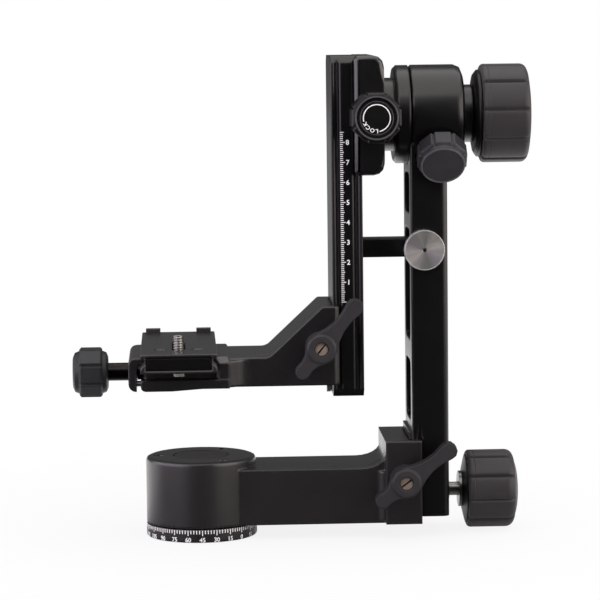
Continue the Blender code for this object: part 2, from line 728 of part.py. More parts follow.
def make_base():
    """Base ring, spindle with its threaded boss, and the bearing's inner race and caged balls."""
    ring_profile = [(0, BOSS_RADIUS + SEAT_GAP), (0, BASE_RADIUS - RING_BREAK), (RING_BREAK, BASE_RADIUS),
                    (RING_HEIGHT - RING_BREAK, BASE_RADIUS), (RING_HEIGHT, BASE_RADIUS - RING_BREAK),
                    (RING_HEIGHT, BOSS_RADIUS + SEAT_GAP)]
    add_piece("base_ring", turned(ring_profile, (0, 0, 1), (0, 0, 0), 36), "anodised", "base")
    spindle = [(STUD_HOLE_DEPTH, 0), (STUD_HOLE_DEPTH, STUD_HOLE_RADIUS), (SEAT_GAP, STUD_HOLE_RADIUS),
               (SEAT_GAP, BOSS_RADIUS), (SPINDLE_LOW, BOSS_RADIUS), (SPINDLE_LOW, SPINDLE_FLANGE_RADIUS),
               (SPINDLE_LOW + SPINDLE_FLANGE, SPINDLE_FLANGE_RADIUS),
               (SPINDLE_LOW + SPINDLE_FLANGE, SPINDLE_RADIUS), (SPINDLE_SHOULDER, SPINDLE_RADIUS),
               (SPINDLE_SHOULDER, SPINDLE_NECK_RADIUS), (SPINDLE_TOP, SPINDLE_NECK_RADIUS), (SPINDLE_TOP, 0)]
    add_piece("pan_spindle", turned(spindle, (0, 0, 1), (0, 0, 0), 16), "steel", "base")
    inner_low = SPINDLE_RADIUS + SEAT_GAP
    race = ring(BEARING_LOW, BEARING_HIGH, inner_low, inner_low + INNER_RACE, (0, 0, 1), (0, 0, 0), 16)
    add_piece("pan_bearing_inner_race", race, "steel", "base")
    ball_circle = inner_low + INNER_RACE + BALL_PLAY + BALL_RADIUS
    middle = (BEARING_LOW + BEARING_HIGH) / 2
    beads = []
    for number in range(BALL_COUNT):
        for place, size in BEAD_FORM:
            angle = 2 * pi * (number + place) / BALL_COUNT
            section = arc((ball_circle, middle), size, 0, 2 * pi, 5)[:-1]
            beads.append([(across * cos(angle), across * sin(angle), up) for across, up in section])
    add_piece("pan_bearing_balls", closed_loft(beads), "steel", "base")
    nut_low = SPINDLE_SHOULDER + SEAT_GAP
    nut = ring(nut_low, nut_low + NUT_HEIGHT, SPINDLE_NECK_RADIUS + SEAT_GAP, NUT_RADIUS,
               (0, 0, 1), (0, 0, 0), 16)
    add_piece("pan_retaining_nut", nut, "steel", "base")


def make_base_arm():
    """Housing, arm and split end block in one casting, with the bores and slits that they need."""
    edge = [(HOUSING_TOP - HOUSING_EDGE * (1 - sin(a)), HOUSING_RADIUS - HOUSING_EDGE * (1 - cos(a)))
            for a in (0, pi / 4, pi / 2)]
    housing = turned([(ARM_BOTTOM, 0), (ARM_BOTTOM, HOUSING_RADIUS)] + edge + [(HOUSING_TOP, 0)],
                     (0, 0, 1), (0, 0, 0), 36)
    arm = add_piece("base_arm", housing, "anodised", "arm")
    inside_block = (BLOCK_LEFT + BLOCK_RIGHT) / 2
    turns = [-pi / 2 * step / 6 for step in range(7)]
    sweep = [(BLOCK_LEFT - BLOCK_SWEEP_RUN * (1 - cos(a)), ARM_TOP + BLOCK_SWEEP_RISE * (1 + sin(a)))
             for a in turns]
    profile = [(SPINDLE_RADIUS, ARM_BOTTOM), (inside_block, ARM_BOTTOM),
               (inside_block, sweep[0][1])] + sweep + [(SPINDLE_RADIUS, ARM_TOP)]
    beam = prism(profile, "Y", -PROFILE_HALF, PROFILE_HALF)
    beam = soften(beam, ARM_EDGE, 2, lambda a, b: on_plane("Y", -PROFILE_HALF, PROFILE_HALF)(a, b)
                  and min(a.z, b.z) > ARM_TOP - SEAT_GAP and max(a.x, b.x) < BLOCK_LEFT + SEAT_GAP)
    join(arm, beam, "arm", "beam")
    end_block = block((BLOCK_LEFT, BLOCK_RIGHT), (-CLAMP_HALF, CLAMP_HALF), (ARM_BOTTOM, BLOCK_TOP))
    end_block = soften(end_block, EDGE_BREAK, 1, lambda a, b: True)
    join(arm, end_block, "arm", "end_block")
    fillets = []
    for side in (-1, 1):
        corner = (BLOCK_LEFT - BLOCK_FILLET, side * (PROFILE_HALF + BLOCK_FILLET))
        hollow = arc(corner, BLOCK_FILLET, -side * pi / 2, 0, 4)
        outline = hollow + [(BLOCK_LEFT + EDGE_BREAK, hollow[-1][1]),
                            (BLOCK_LEFT + EDGE_BREAK, side * (PROFILE_HALF - EDGE_BREAK)),
                            (hollow[0][0], side * (PROFILE_HALF - EDGE_BREAK))]
        fillets.append(prism(outline, "Z", ARM_BOTTOM + EDGE_BREAK, ARM_TOP - ARM_EDGE))
    join(arm, together(*fillets), "arm", "fillets")
    wide = SPINDLE_FLANGE_RADIUS + RUN_GAP + SEAT_GAP
    outer_race = SPINDLE_RADIUS + INNER_RACE + 2 * (BALL_PLAY + BALL_RADIUS) + OUTER_RACE + LOOSE_GAP
    bush = SPINDLE_RADIUS + BUSH_WALL + LOOSE_GAP
    plain = SPINDLE_RADIUS + RUN_GAP
    nut_room = SPINDLE_TOP + LOOSE_GAP
    hollow = [(ARM_BOTTOM - OVERRUN, 0), (ARM_BOTTOM - OVERRUN, wide),
              (BEARING_LOW - SEAT_GAP, wide), (BEARING_LOW - SEAT_GAP, outer_race),
              (BEARING_HIGH + SEAT_GAP, outer_race), (BEARING_HIGH + SEAT_GAP, plain),
              (BUSH_LOW - SEAT_GAP, plain), (BUSH_LOW - SEAT_GAP, bush), (nut_room, bush),
              (nut_room, NUT_RADIUS - SEAT_GAP), (CAP_LOW - SEAT_GAP, NUT_RADIUS - SEAT_GAP),
              (CAP_LOW - SEAT_GAP, CAP_RADIUS + SEAT_GAP), (HOUSING_TOP + OVERRUN, CAP_RADIUS + SEAT_GAP),
              (HOUSING_TOP + OVERRUN, 0)]
    cut(arm, turned(hollow, (0, 0, 1), (0, 0, 0), 24), "arm", "spindle_bore")
    shoe_bore_end = ROD_LEFT + SHOE_RADIUS
    bore = [(0, 0), (0, SHOE_RADIUS + SEAT_GAP), (shoe_bore_end, SHOE_RADIUS + SEAT_GAP),
            (shoe_bore_end, ROD_RADIUS + RUN_GAP), (BLOCK_RIGHT + OVERRUN, ROD_RADIUS + RUN_GAP),
            (BLOCK_RIGHT + OVERRUN, 0)]
    cut(arm, turned(bore, (1, 0, 0), (0, 0, PAN_LOCK_HEIGHT), 16), "arm", "rod_bore")
    cut(arm, prism(channel(FOOT_LEFT - SEAT_GAP, FOOT_GROOVE_START, 1), "Z", ARM_BOTTOM - OVERRUN,
                   BLOCK_TOP + OVERRUN), "arm", "foot_channel")
    slit_front = JAW_LEAF - CLAMP_HALF
    slit = block((ARM_SLIT_START, FOOT_LEFT), (slit_front, slit_front + SAW_CUT),
                 (ARM_BOTTOM - OVERRUN, BLOCK_TOP + OVERRUN))
    cut(arm, slit, "arm", "clamp_slit")
    cut(arm, clamp_bolt_bore(LOWER_PIVOT_X, LOWER_PIVOT_Z), "arm", "bolt_bore")
    holes = [rod(HOUSING_TOP - CAP_SCREW_DEPTH - SEAT_GAP, HOUSING_TOP + OVERRUN, CAP_SCREW_RADIUS + SEAT_GAP,
                 (0, 0, 1), spot, 10) for spot in cap_screw_spots()]
    cut(arm, together(*holes), "arm", "cap_screw_holes")


def cap_screw_spots():
    """Where the three screws in the top of the housing stand."""
    angles = [pi + 2 * pi * number / CAP_SCREW_COUNT for number in range(CAP_SCREW_COUNT)]
    return [(CAP_SCREW_CIRCLE * cos(a), CAP_SCREW_CIRCLE * sin(a), 0) for a in angles]


def make_arm_inside():
    """What the housing holds: outer race, bush, cap disc and cap screws."""
    race_inner = SPINDLE_RADIUS + SEAT_GAP + INNER_RACE + 2 * (BALL_PLAY + BALL_RADIUS)
    race = ring(BEARING_LOW, BEARING_HIGH, race_inner, race_inner + OUTER_RACE, (0, 0, 1), (0, 0, 0), 24)
    add_piece("pan_bearing_outer_race", race, "steel", "arm")
    bush = ring(BUSH_LOW, SPINDLE_SHOULDER, SPINDLE_RADIUS + SEAT_GAP, SPINDLE_RADIUS + BUSH_WALL + SEAT_GAP,
                (0, 0, 1), (0, 0, 0), 16)
    add_piece("pan_bush", bush, "bronze", "arm")
    disc = turned([(CAP_LOW, 0), (CAP_LOW, CAP_RADIUS), (HOUSING_TOP - RING_BREAK, CAP_RADIUS),
                   (HOUSING_TOP, CAP_RADIUS - RING_BREAK), (HOUSING_TOP, 0)], (0, 0, 1), (0, 0, 0), 28)
    add_piece("cap_disc", disc, "anodised", "arm")
    top = HOUSING_TOP - CAP_SCREW_SUNK
    key_floor = top - CAP_KEY_RADIUS
    for number, spot in enumerate(cap_screw_spots()):
        screw = turned([(HOUSING_TOP - CAP_SCREW_DEPTH, 0), (HOUSING_TOP - CAP_SCREW_DEPTH, CAP_SCREW_RADIUS),
                        (top, CAP_SCREW_RADIUS), (top, CAP_KEY_RADIUS), (key_floor, CAP_KEY_RADIUS),
                        (key_floor, 0)], (0, 0, 1), spot, 10)
        add_piece(f"cap_screw_{number + 1}", screw, "steel", "arm")


def make_pan_lock():
    """The knob on the end of the arm, its rod and washers, and the shoe that grips the spindle."""
    middle = (0, 0, PAN_LOCK_HEIGHT)
    end = KNOB_RIGHT - KNOB_GRIP_WALL - ROD_END_WALL
    shaft = [(ROD_LEFT - ROD_NOSE, 0), (ROD_LEFT - ROD_NOSE, ROD_NOSE_RADIUS), (ROD_LEFT, ROD_NOSE_RADIUS),
             (ROD_LEFT, ROD_RADIUS), (end, ROD_RADIUS), (end, 0)]
    add_piece("pan_lock_rod", turned(shaft, (1, 0, 0), middle, 16), "steel", "pan_lock")
    nose_hole = SHOE_RIGHT - ROD_NOSE - SEAT_GAP
    shoe = [(SHOE_LEFT, 0), (SHOE_LEFT, SHOE_RADIUS), (SHOE_RIGHT, SHOE_RADIUS),
            (SHOE_RIGHT, ROD_NOSE_RADIUS + SEAT_GAP), (nose_hole, ROD_NOSE_RADIUS + SEAT_GAP), (nose_hole, 0)]
    add_piece("pan_clamp_shoe", turned(shoe, (1, 0, 0), middle, 12), "brass", "pan_shoe")
    inner = ROD_RADIUS + SEAT_GAP
    near = ring(NEAR_WASHER_LEFT, NEAR_WASHER_LEFT + NEAR_WASHER, inner, NEAR_WASHER_RADIUS,
                (1, 0, 0), middle, 16)
    add_piece("pan_rod_washer", near, "steel", "pan_lock")
    far = ring(FAR_WASHER_LEFT, FAR_WASHER_LEFT + FAR_WASHER, inner, FAR_WASHER_RADIUS, (1, 0, 0), middle, 20)
    add_piece("pan_knob_washer", far, "steel", "pan_lock")
    grip_bore = KNOB_RADIUS - KNOB_GRIP_WALL
    hub_end = KNOB_RIGHT - KNOB_GRIP_WALL - SEAT_GAP
    hub = [(KNOB_START, ROD_RADIUS + SEAT_GAP), (KNOB_START, KNOB_HUB_RADIUS),
           (KNOB_BODY - SEAT_GAP, KNOB_RADIUS - KNOB_BACK_ROUND),
           (KNOB_BODY - SEAT_GAP / 2, grip_bore - SEAT_GAP),
           (hub_end, grip_bore - SEAT_GAP), (hub_end, ROD_RADIUS + SEAT_GAP)]
    add_piece("pan_knob_hub", turned(hub, (1, 0, 0), middle, 20), "plastic", "pan_lock")
    grip = lobed_grip(KNOB_BODY, KNOB_RIGHT, KNOB_RADIUS, grip_bore, KNOB_CORNER, KNOB_DOME, PAN_LOCK_HEIGHT,
                      KNOB_VALLEY_ANGLE)
    add_piece("pan_lock_knob", grip, "rubber", "pan_lock")


def clamp_bolt_bore(pivot_x, pivot_z):
    """Bore of a lever's bolt through a split clamp, with a socket for the head at the back."""
    bore = BOLT_RADIUS + SEAT_GAP
    head = BOLT_HEAD_RADIUS + SEAT_GAP
    seat = CLAMP_HALF - BOLT_SOCKET - BOLT_HEAD - SEAT_GAP
    outside = CLAMP_HALF + OVERRUN
    profile = [(-outside, 0), (-outside, bore), (seat, bore), (seat, head), (outside, head), (outside, 0)]
    return turned(profile, (0, 1, 0), (pivot_x, 0, pivot_z), 10)


def make_lever(prefix, carrier, body, pivot_x, pivot_z, angle):
    """A clamp lever with its slotted screw, and the clamp's bolt."""
    pivot = (pivot_x, 0, pivot_z)
    back = -LEVER_FRONT + LEVER_THICKNESS
    arms_front = -LEVER_FRONT + LEVER_STEP
    face = prism(lever_outline((pivot_x, pivot_z), angle), "Y", arms_front, back)
    face = soften(face, LEVER_EDGE, 1, on_plane("Y", arms_front))
    lever = add_piece(prefix + "_lever", face, "nylon", body)
    boss_back = -CLAMP_HALF - SEAT_GAP
    middle = back - LEVER_THICKNESS / 2
    outer = LEVER_BOSS - SEAT_GAP
    boss = [(-LEVER_FRONT, 0), (-LEVER_FRONT, LEVER_RIM - LEVER_EDGE), (-LEVER_FRONT + LEVER_EDGE, LEVER_RIM),
            (middle, LEVER_RIM), (middle, outer), (boss_back, outer), (boss_back, 0)]
    join(lever, turned(boss, (0, 1, 0), pivot, 20), body, "boss")
    wall = -LEVER_FRONT + LEVER_RECESS + LEVER_SCREW_HEAD
    bolt_front = wall + LEVER_SCREW_HEAD + SEAT_GAP
    bore = BOLT_RADIUS + SEAT_GAP
    room = [(-LEVER_FRONT - OVERRUN, 0), (-LEVER_FRONT - OVERRUN, LEVER_SCREW_RADIUS + SEAT_GAP),
            (wall, LEVER_SCREW_RADIUS + SEAT_GAP), (wall, LEVER_SCREW_SHANK + SEAT_GAP),
            (bolt_front - SEAT_GAP, LEVER_SCREW_SHANK + SEAT_GAP), (bolt_front - SEAT_GAP, bore),
            (boss_back + OVERRUN, bore), (boss_back + OVERRUN, 0)]
    cut(lever, turned(room, (0, 1, 0), pivot, 12), body, "bore")
    head_back = wall - SEAT_GAP
    head_front = head_back - LEVER_SCREW_HEAD
    screw_end = bolt_front + LEVER_SCREW_REACH
    screw_profile = [(head_front, 0), (head_front, LEVER_SCREW_RADIUS), (head_back, LEVER_SCREW_RADIUS),
                     (head_back, LEVER_SCREW_SHANK), (screw_end, LEVER_SCREW_SHANK), (screw_end, 0)]
    screw = add_piece(prefix + "_lever_screw", turned(screw_profile, (0, 1, 0), pivot, 14), "steel", body)
    half_slot = LEVER_SCREW_SLOT / 2
    slot_end = LEVER_SCREW_RADIUS + OVERRUN
    slot = block((-slot_end, slot_end), (head_front - OVERRUN, head_front + LEVER_SCREW_SLOT_DEPTH),
                 (-half_slot, half_slot))
    bmesh.ops.rotate(slot, cent=(0, 0, 0), matrix=Matrix.Rotation(-angle, 3, "Y"), verts=slot.verts)
    bmesh.ops.translate(slot, vec=(pivot_x, 0, pivot_z), verts=slot.verts)
    cut(screw, slot, body, "slot")
    head_high = CLAMP_HALF - BOLT_SOCKET
    head_low = head_high - BOLT_HEAD
    shank_hole = screw_end + SEAT_GAP
    bolt = [(bolt_front, LEVER_SCREW_SHANK + SEAT_GAP), (bolt_front, BOLT_RADIUS), (head_low, BOLT_RADIUS),
            (head_low, BOLT_HEAD_RADIUS), (head_high, BOLT_HEAD_RADIUS), (head_high, 0)]
    hole = [(shank_hole, 0), (shank_hole, LEVER_SCREW_SHANK + SEAT_GAP)]
    add_piece(prefix + "_clamp_bolt", turned(hole + bolt, (0, 1, 0), pivot, 10), "steel", carrier)


def make_upright():
    """Upright and hub housing in one casting: dovetail foot, rod slot, windows, bores."""
    plan = rounded([(UPRIGHT_LEFT, -PROFILE_HALF, EDGE_BREAK), (UPRIGHT_RIGHT, -PROFILE_HALF, UPRIGHT_ROUND),
                    (UPRIGHT_RIGHT, PROFILE_HALF, UPRIGHT_ROUND),
                    (UPRIGHT_LEFT, PROFILE_HALF, EDGE_BREAK)], 3)
    plate = prism(plan, "Z", UPRIGHT_BOTTOM, TILT_HEIGHT)
    plate = soften(plate, UPRIGHT_ROUND / 2, 2, lambda a, b: on_plane("Z", UPRIGHT_BOTTOM)(a, b)
                   and min(a.x, b.x) > UPRIGHT_LEFT + UPRIGHT_ROUND)
    upright = add_piece("upright", plate, "dark_anodised", "upright")
    flange = block((FOOT_LEFT, UPRIGHT_LEFT + FOOT_FLANGE), (-FOOT_FLANGE_HALF, FOOT_FLANGE_HALF),
                   (UPRIGHT_BOTTOM + SEAT_GAP, FOOT_FLANGE_TOP))
    join(upright, flange, "upright", "foot_flange")
    windows = []
    for low, high in (LOWER_WINDOW, MIDDLE_WINDOW, UPPER_WINDOW):
        outline = rounded_box_outline((-WINDOW_HALF, low), (WINDOW_HALF, high), WINDOW_CORNER, 2)
        windows.append(prism(outline, "X", UPRIGHT_LEFT - OVERRUN, UPRIGHT_RIGHT + OVERRUN))
    cut(upright, together(*windows), "upright", "windows")
    slot_half = ROD_RADIUS + FOOT_SLOT_GAP
    slot = arc((0, PAN_LOCK_HEIGHT), slot_half, 0, pi, 6)
    slot += [(-slot_half, UPRIGHT_BOTTOM - OVERRUN), (slot_half, UPRIGHT_BOTTOM - OVERRUN)]
    cut(upright, prism(slot, "X", FOOT_LEFT - OVERRUN, UPRIGHT_RIGHT + OVERRUN), "upright", "rod_slot")
    grooves = []
    for side in (-1, 1):
        slope = GROOVE_DEPTH / (GROOVE_WIDTH / 2)
        beyond = OVERRUN / slope
        middle = FOOT_GROOVE_START + GROOVE_WIDTH / 2
        outline = [(FOOT_GROOVE_START - beyond, side * (PROFILE_HALF + OVERRUN)),
                   (middle, side * WAISTED_HALF),
                   (middle + GROOVE_WIDTH / 2 + beyond, side * (PROFILE_HALF + OVERRUN))]
        run_out = FOOT_GROOVE_TOP - FOOT_RUN_OUT
        raised = [(x, y + side * GROOVE_DEPTH) for x, y in outline]
        groove = loft([at_height(outline, "Z", UPRIGHT_BOTTOM - OVERRUN), at_height(outline, "Z", run_out),
                       at_height(raised, "Z", FOOT_GROOVE_TOP)])
        grooves.append(groove)
    cut(upright, together(*grooves), "upright", "dovetail")
    bolt_bore = rod(-PROFILE_HALF - OVERRUN, PROFILE_HALF - LATCH_BORE_WALL, LATCH_BOLT_RADIUS + SEAT_GAP,
                    (0, 1, 0), (LATCH_X, 0, LATCH_HEIGHT), 12)
    cut(upright, bolt_bore, "upright", "latch_bore")
    edge = [(HUB_RIGHT - HUB_ROUND * (1 - sin(a)), HUB_RADIUS - HUB_ROUND * (1 - cos(a)))
            for a in (0, pi / 4, pi / 2)]
    hub_profile = [(HUB_LEFT, 0), (HUB_LEFT, HUB_RADIUS - EDGE_BREAK),
                   (HUB_LEFT + EDGE_BREAK, HUB_RADIUS)] + edge
    hub = turned(hub_profile + [(HUB_RIGHT, 0)], (1, 0, 0), (0, 0, TILT_HEIGHT), 36)
    seam = rod(UPRIGHT_LEFT - OVERRUN, HUB_LEFT + RUN_GAP, HUB_RADIUS + SEAT_GAP, (1, 0, 0),
               (0, 0, TILT_HEIGHT), 36)
    cut(upright, seam, "upright", "collar_room")
    join(upright, hub, "upright", "hub")
    shoe_bore = DRAG_SHOE_RADIUS + SEAT_GAP
    relief = DRAG_BODY_START - SEAT_GAP
    drag_bore = [(HUB_WAIST - OVERRUN, 0), (HUB_WAIST - OVERRUN, shoe_bore), (relief, shoe_bore),
                 (relief, DRAG_RELIEF_RADIUS), (DRAG_CAP_END + OVERRUN, DRAG_RELIEF_RADIUS),
                 (DRAG_CAP_END + OVERRUN, 0)]
    cut(upright, turned(drag_bore, DRAG_AXIS, (DRAG_X, 0, TILT_HEIGHT), 20), "upright", "drag_bore")
    spigot = HUB_RIGHT - END_CAP_SPIGOT - SEAT_GAP
    bore = [(HUB_LEFT - OVERRUN, 0), (HUB_LEFT - OVERRUN, HUB_BORE),
            (SHAFT_SHOULDER_LEFT + TILT_BEARING + SEAT_GAP, HUB_BORE),
            (SHAFT_SHOULDER_LEFT + TILT_BEARING + SEAT_GAP, HUB_WAIST),
            (RIGHT_BEARING_LEFT - SEAT_GAP, HUB_WAIST), (RIGHT_BEARING_LEFT - SEAT_GAP, HUB_BORE),
            (HUB_RIGHT + OVERRUN, HUB_BORE), (HUB_RIGHT + OVERRUN, 0)]
    cut(upright, turned(bore, (1, 0, 0), (0, 0, TILT_HEIGHT), 20), "upright", "bore")


def make_hub_inside():
    """Bearings and end cap of the tilt hub."""
    middle = (0, 0, TILT_HEIGHT)
    inner, outer = TILT_SHAFT_RADIUS + SEAT_GAP, HUB_BORE - SEAT_GAP
    for name, left in (("tilt_bearing_left", SHAFT_SHOULDER_LEFT),
                       ("tilt_bearing_right", RIGHT_BEARING_LEFT)):
        bearing = ring(left, left + TILT_BEARING, inner, outer, (1, 0, 0), middle, 20)
        add_piece(name, bearing, "steel", "upright")
    spigot = HUB_RIGHT - END_CAP_SPIGOT
    cap = [(spigot, BRAKE_RADIUS + RUN_GAP), (spigot, HUB_BORE - SEAT_GAP),
           (HUB_RIGHT + SEAT_GAP / 2, HUB_BORE - SEAT_GAP), (HUB_RIGHT + SEAT_GAP / 2, END_CAP_RADIUS),
           (END_CAP_RIGHT, END_CAP_RADIUS), (END_CAP_RIGHT, LOCK_SCREW_RADIUS + RUN_GAP),
           (BRAKE_LEFT + BRAKE_THICKNESS + SEAT_GAP, LOCK_SCREW_RADIUS + RUN_GAP),
           (BRAKE_LEFT + BRAKE_THICKNESS + SEAT_GAP, BRAKE_RADIUS + RUN_GAP)]
    add_piece("hub_end_cap", turned(cap, (1, 0, 0), middle, 20), "dark_anodised", "upright")


def make_tilt_lock():
    """Tilt lock knob, its hub and screw, and the brake disc at the end of the shaft."""
    middle = (0, 0, TILT_HEIGHT)
    disc = rod(BRAKE_LEFT, BRAKE_LEFT + BRAKE_THICKNESS, BRAKE_RADIUS, (1, 0, 0), middle, 16)
    add_piece("tilt_brake_disc", disc, "brass", "tilt_brake")
    screw_end = TILT_KNOB_LEFT + KNOB_SCREW_DEPTH
    add_piece("tilt_lock_screw", rod(TILT_SCREW_LEFT, screw_end, LOCK_SCREW_RADIUS, (1, 0, 0), middle, 12),
              "steel", "tilt_lock")
    grip_bore = TILT_KNOB_RADIUS - KNOB_GRIP_WALL
    hub_end = TILT_KNOB_RIGHT - KNOB_GRIP_WALL - SEAT_GAP
    back = TILT_KNOB_FLANGE_LEFT
    hub = [(screw_end + SEAT_GAP, 0), (screw_end + SEAT_GAP, LOCK_SCREW_RADIUS + SEAT_GAP),
           (back, LOCK_SCREW_RADIUS + SEAT_GAP), (back, END_CAP_RADIUS),
           (back + TILT_KNOB_BACK_CONE, TILT_KNOB_FLANGE_RADIUS - KNOB_BACK_ROUND),
           (back + KNOB_BACK_ROUND, TILT_KNOB_FLANGE_RADIUS),
           (TILT_KNOB_LEFT - SEAT_GAP, TILT_KNOB_FLANGE_RADIUS),
           (TILT_KNOB_LEFT - SEAT_GAP, grip_bore - SEAT_GAP), (hub_end, grip_bore - SEAT_GAP), (hub_end, 0)]
    add_piece("tilt_knob_hub", turned(hub, (1, 0, 0), middle, 20), "plastic", "tilt_lock")
    grip = lobed_grip(TILT_KNOB_LEFT, TILT_KNOB_RIGHT, TILT_KNOB_RADIUS, grip_bore, TILT_KNOB_CORNER,
                      TILT_KNOB_DOME, TILT_HEIGHT, TILT_VALLEY_ANGLE)
    add_piece("tilt_lock_knob", grip, "rubber", "tilt_lock")


def make_drag():
    """The small notched knob under the hub, with its screw and the shoe that rubs on the tilt shaft."""
    centre = (DRAG_X, 0, TILT_HEIGHT)
    back = DRAG_BODY_START
    knob = add_piece("drag_knob", notched_knob(back, DRAG_BODY_END, DRAG_AXIS, centre), "plastic", "drag")
    screw_end = DRAG_BODY_END - KNOB_FACE_WALL
    cut(knob, rod(back - OVERRUN, screw_end + SEAT_GAP, DRAG_SCREW_RADIUS + SEAT_GAP, DRAG_AXIS, centre, 12),
        "drag", "screw_hole")
    screw = rod(DRAG_SCREW_START, screw_end, DRAG_SCREW_RADIUS, DRAG_AXIS, centre, 12)
    add_piece("drag_screw", screw, "steel", "drag")
    cap_low = DRAG_BODY_END - KNOB_OVERLAP
    cap = [(cap_low, 0), (cap_low, DRAG_CAP_RADIUS), (DRAG_CAP_END - NOTCHED_EDGE, DRAG_CAP_RADIUS),
           (DRAG_CAP_END, DRAG_CAP_RADIUS - NOTCHED_EDGE), (DRAG_CAP_END, 0)]
    join(knob, turned(cap, DRAG_AXIS, centre, 24), "drag", "cap")
    shoe_low = TILT_SHAFT_RADIUS + DRAG_PLAY
    shoe = rod(shoe_low, DRAG_SCREW_START - SEAT_GAP, DRAG_SHOE_RADIUS, DRAG_AXIS, centre, 12)
    add_piece("drag_shoe", shoe, "white_nylon", "drag_shoe")


def make_latch():
    """The folding latch bar in the middle window, its spacers, and the thumbscrew that it turns on."""
    tip = RAIL_RIGHT + LATCH_TIP_GAP
    outline = arc((LATCH_X, LATCH_HEIGHT), LATCH_HALF, -pi / 2, pi / 2, 6)
    outline += [(tip, LATCH_HEIGHT + LATCH_HALF), (tip, LATCH_HEIGHT - LATCH_HALF)]
    bar = prism(outline, "Y", -LATCH_WIDTH_HALF, LATCH_WIDTH_HALF)
    bar = soften(bar, THUMB_EDGE, 1, on_plane("Y", -LATCH_WIDTH_HALF, LATCH_WIDTH_HALF))
    latch = add_piece("latch_bar", bar, "dark_anodised", "latch")
    spot = (LATCH_X, 0, LATCH_HEIGHT)
    bore = rod(-PROFILE_HALF, PROFILE_HALF, LATCH_BOLT_RADIUS + SEAT_GAP, (0, 1, 0), spot, 12)
    cut(latch, bore, "latch", "bore")
    inner, outer = LATCH_BOLT_RADIUS + SEAT_GAP, LATCH_SPACER_RADIUS
    near, far = LATCH_WIDTH_HALF + SEAT_GAP, WINDOW_HALF - SEAT_GAP
    for name, side in (("latch_spacer_front", -1), ("latch_spacer_rear", 1)):
        add_piece(name, ring(near, far, inner, outer, (0, side, 0), spot, 12), "white_nylon", "upright")
    disc_back = -PROFILE_HALF - SEAT_GAP
    disc_front = disc_back - THUMB_THICKNESS
    end = PROFILE_HALF - LATCH_BOLT_WALL
    profile = [(disc_front + THUMB_DIMPLE, 0), (disc_front + THUMB_DIMPLE, THUMB_DIMPLE_RADIUS),
               (disc_front, THUMB_DIMPLE_RADIUS), (disc_front, THUMB_RADIUS - THUMB_EDGE),
               (disc_front + THUMB_EDGE, THUMB_RADIUS), (disc_back - THUMB_EDGE, THUMB_RADIUS),
               (disc_back, THUMB_RADIUS - THUMB_EDGE), (disc_back, LATCH_BOLT_RADIUS),
               (end, LATCH_BOLT_RADIUS), (end, 0)]
    add_piece("latch_thumbscrew", turned(profile, (0, 1, 0), spot, 24), "turned", "latch_screw")


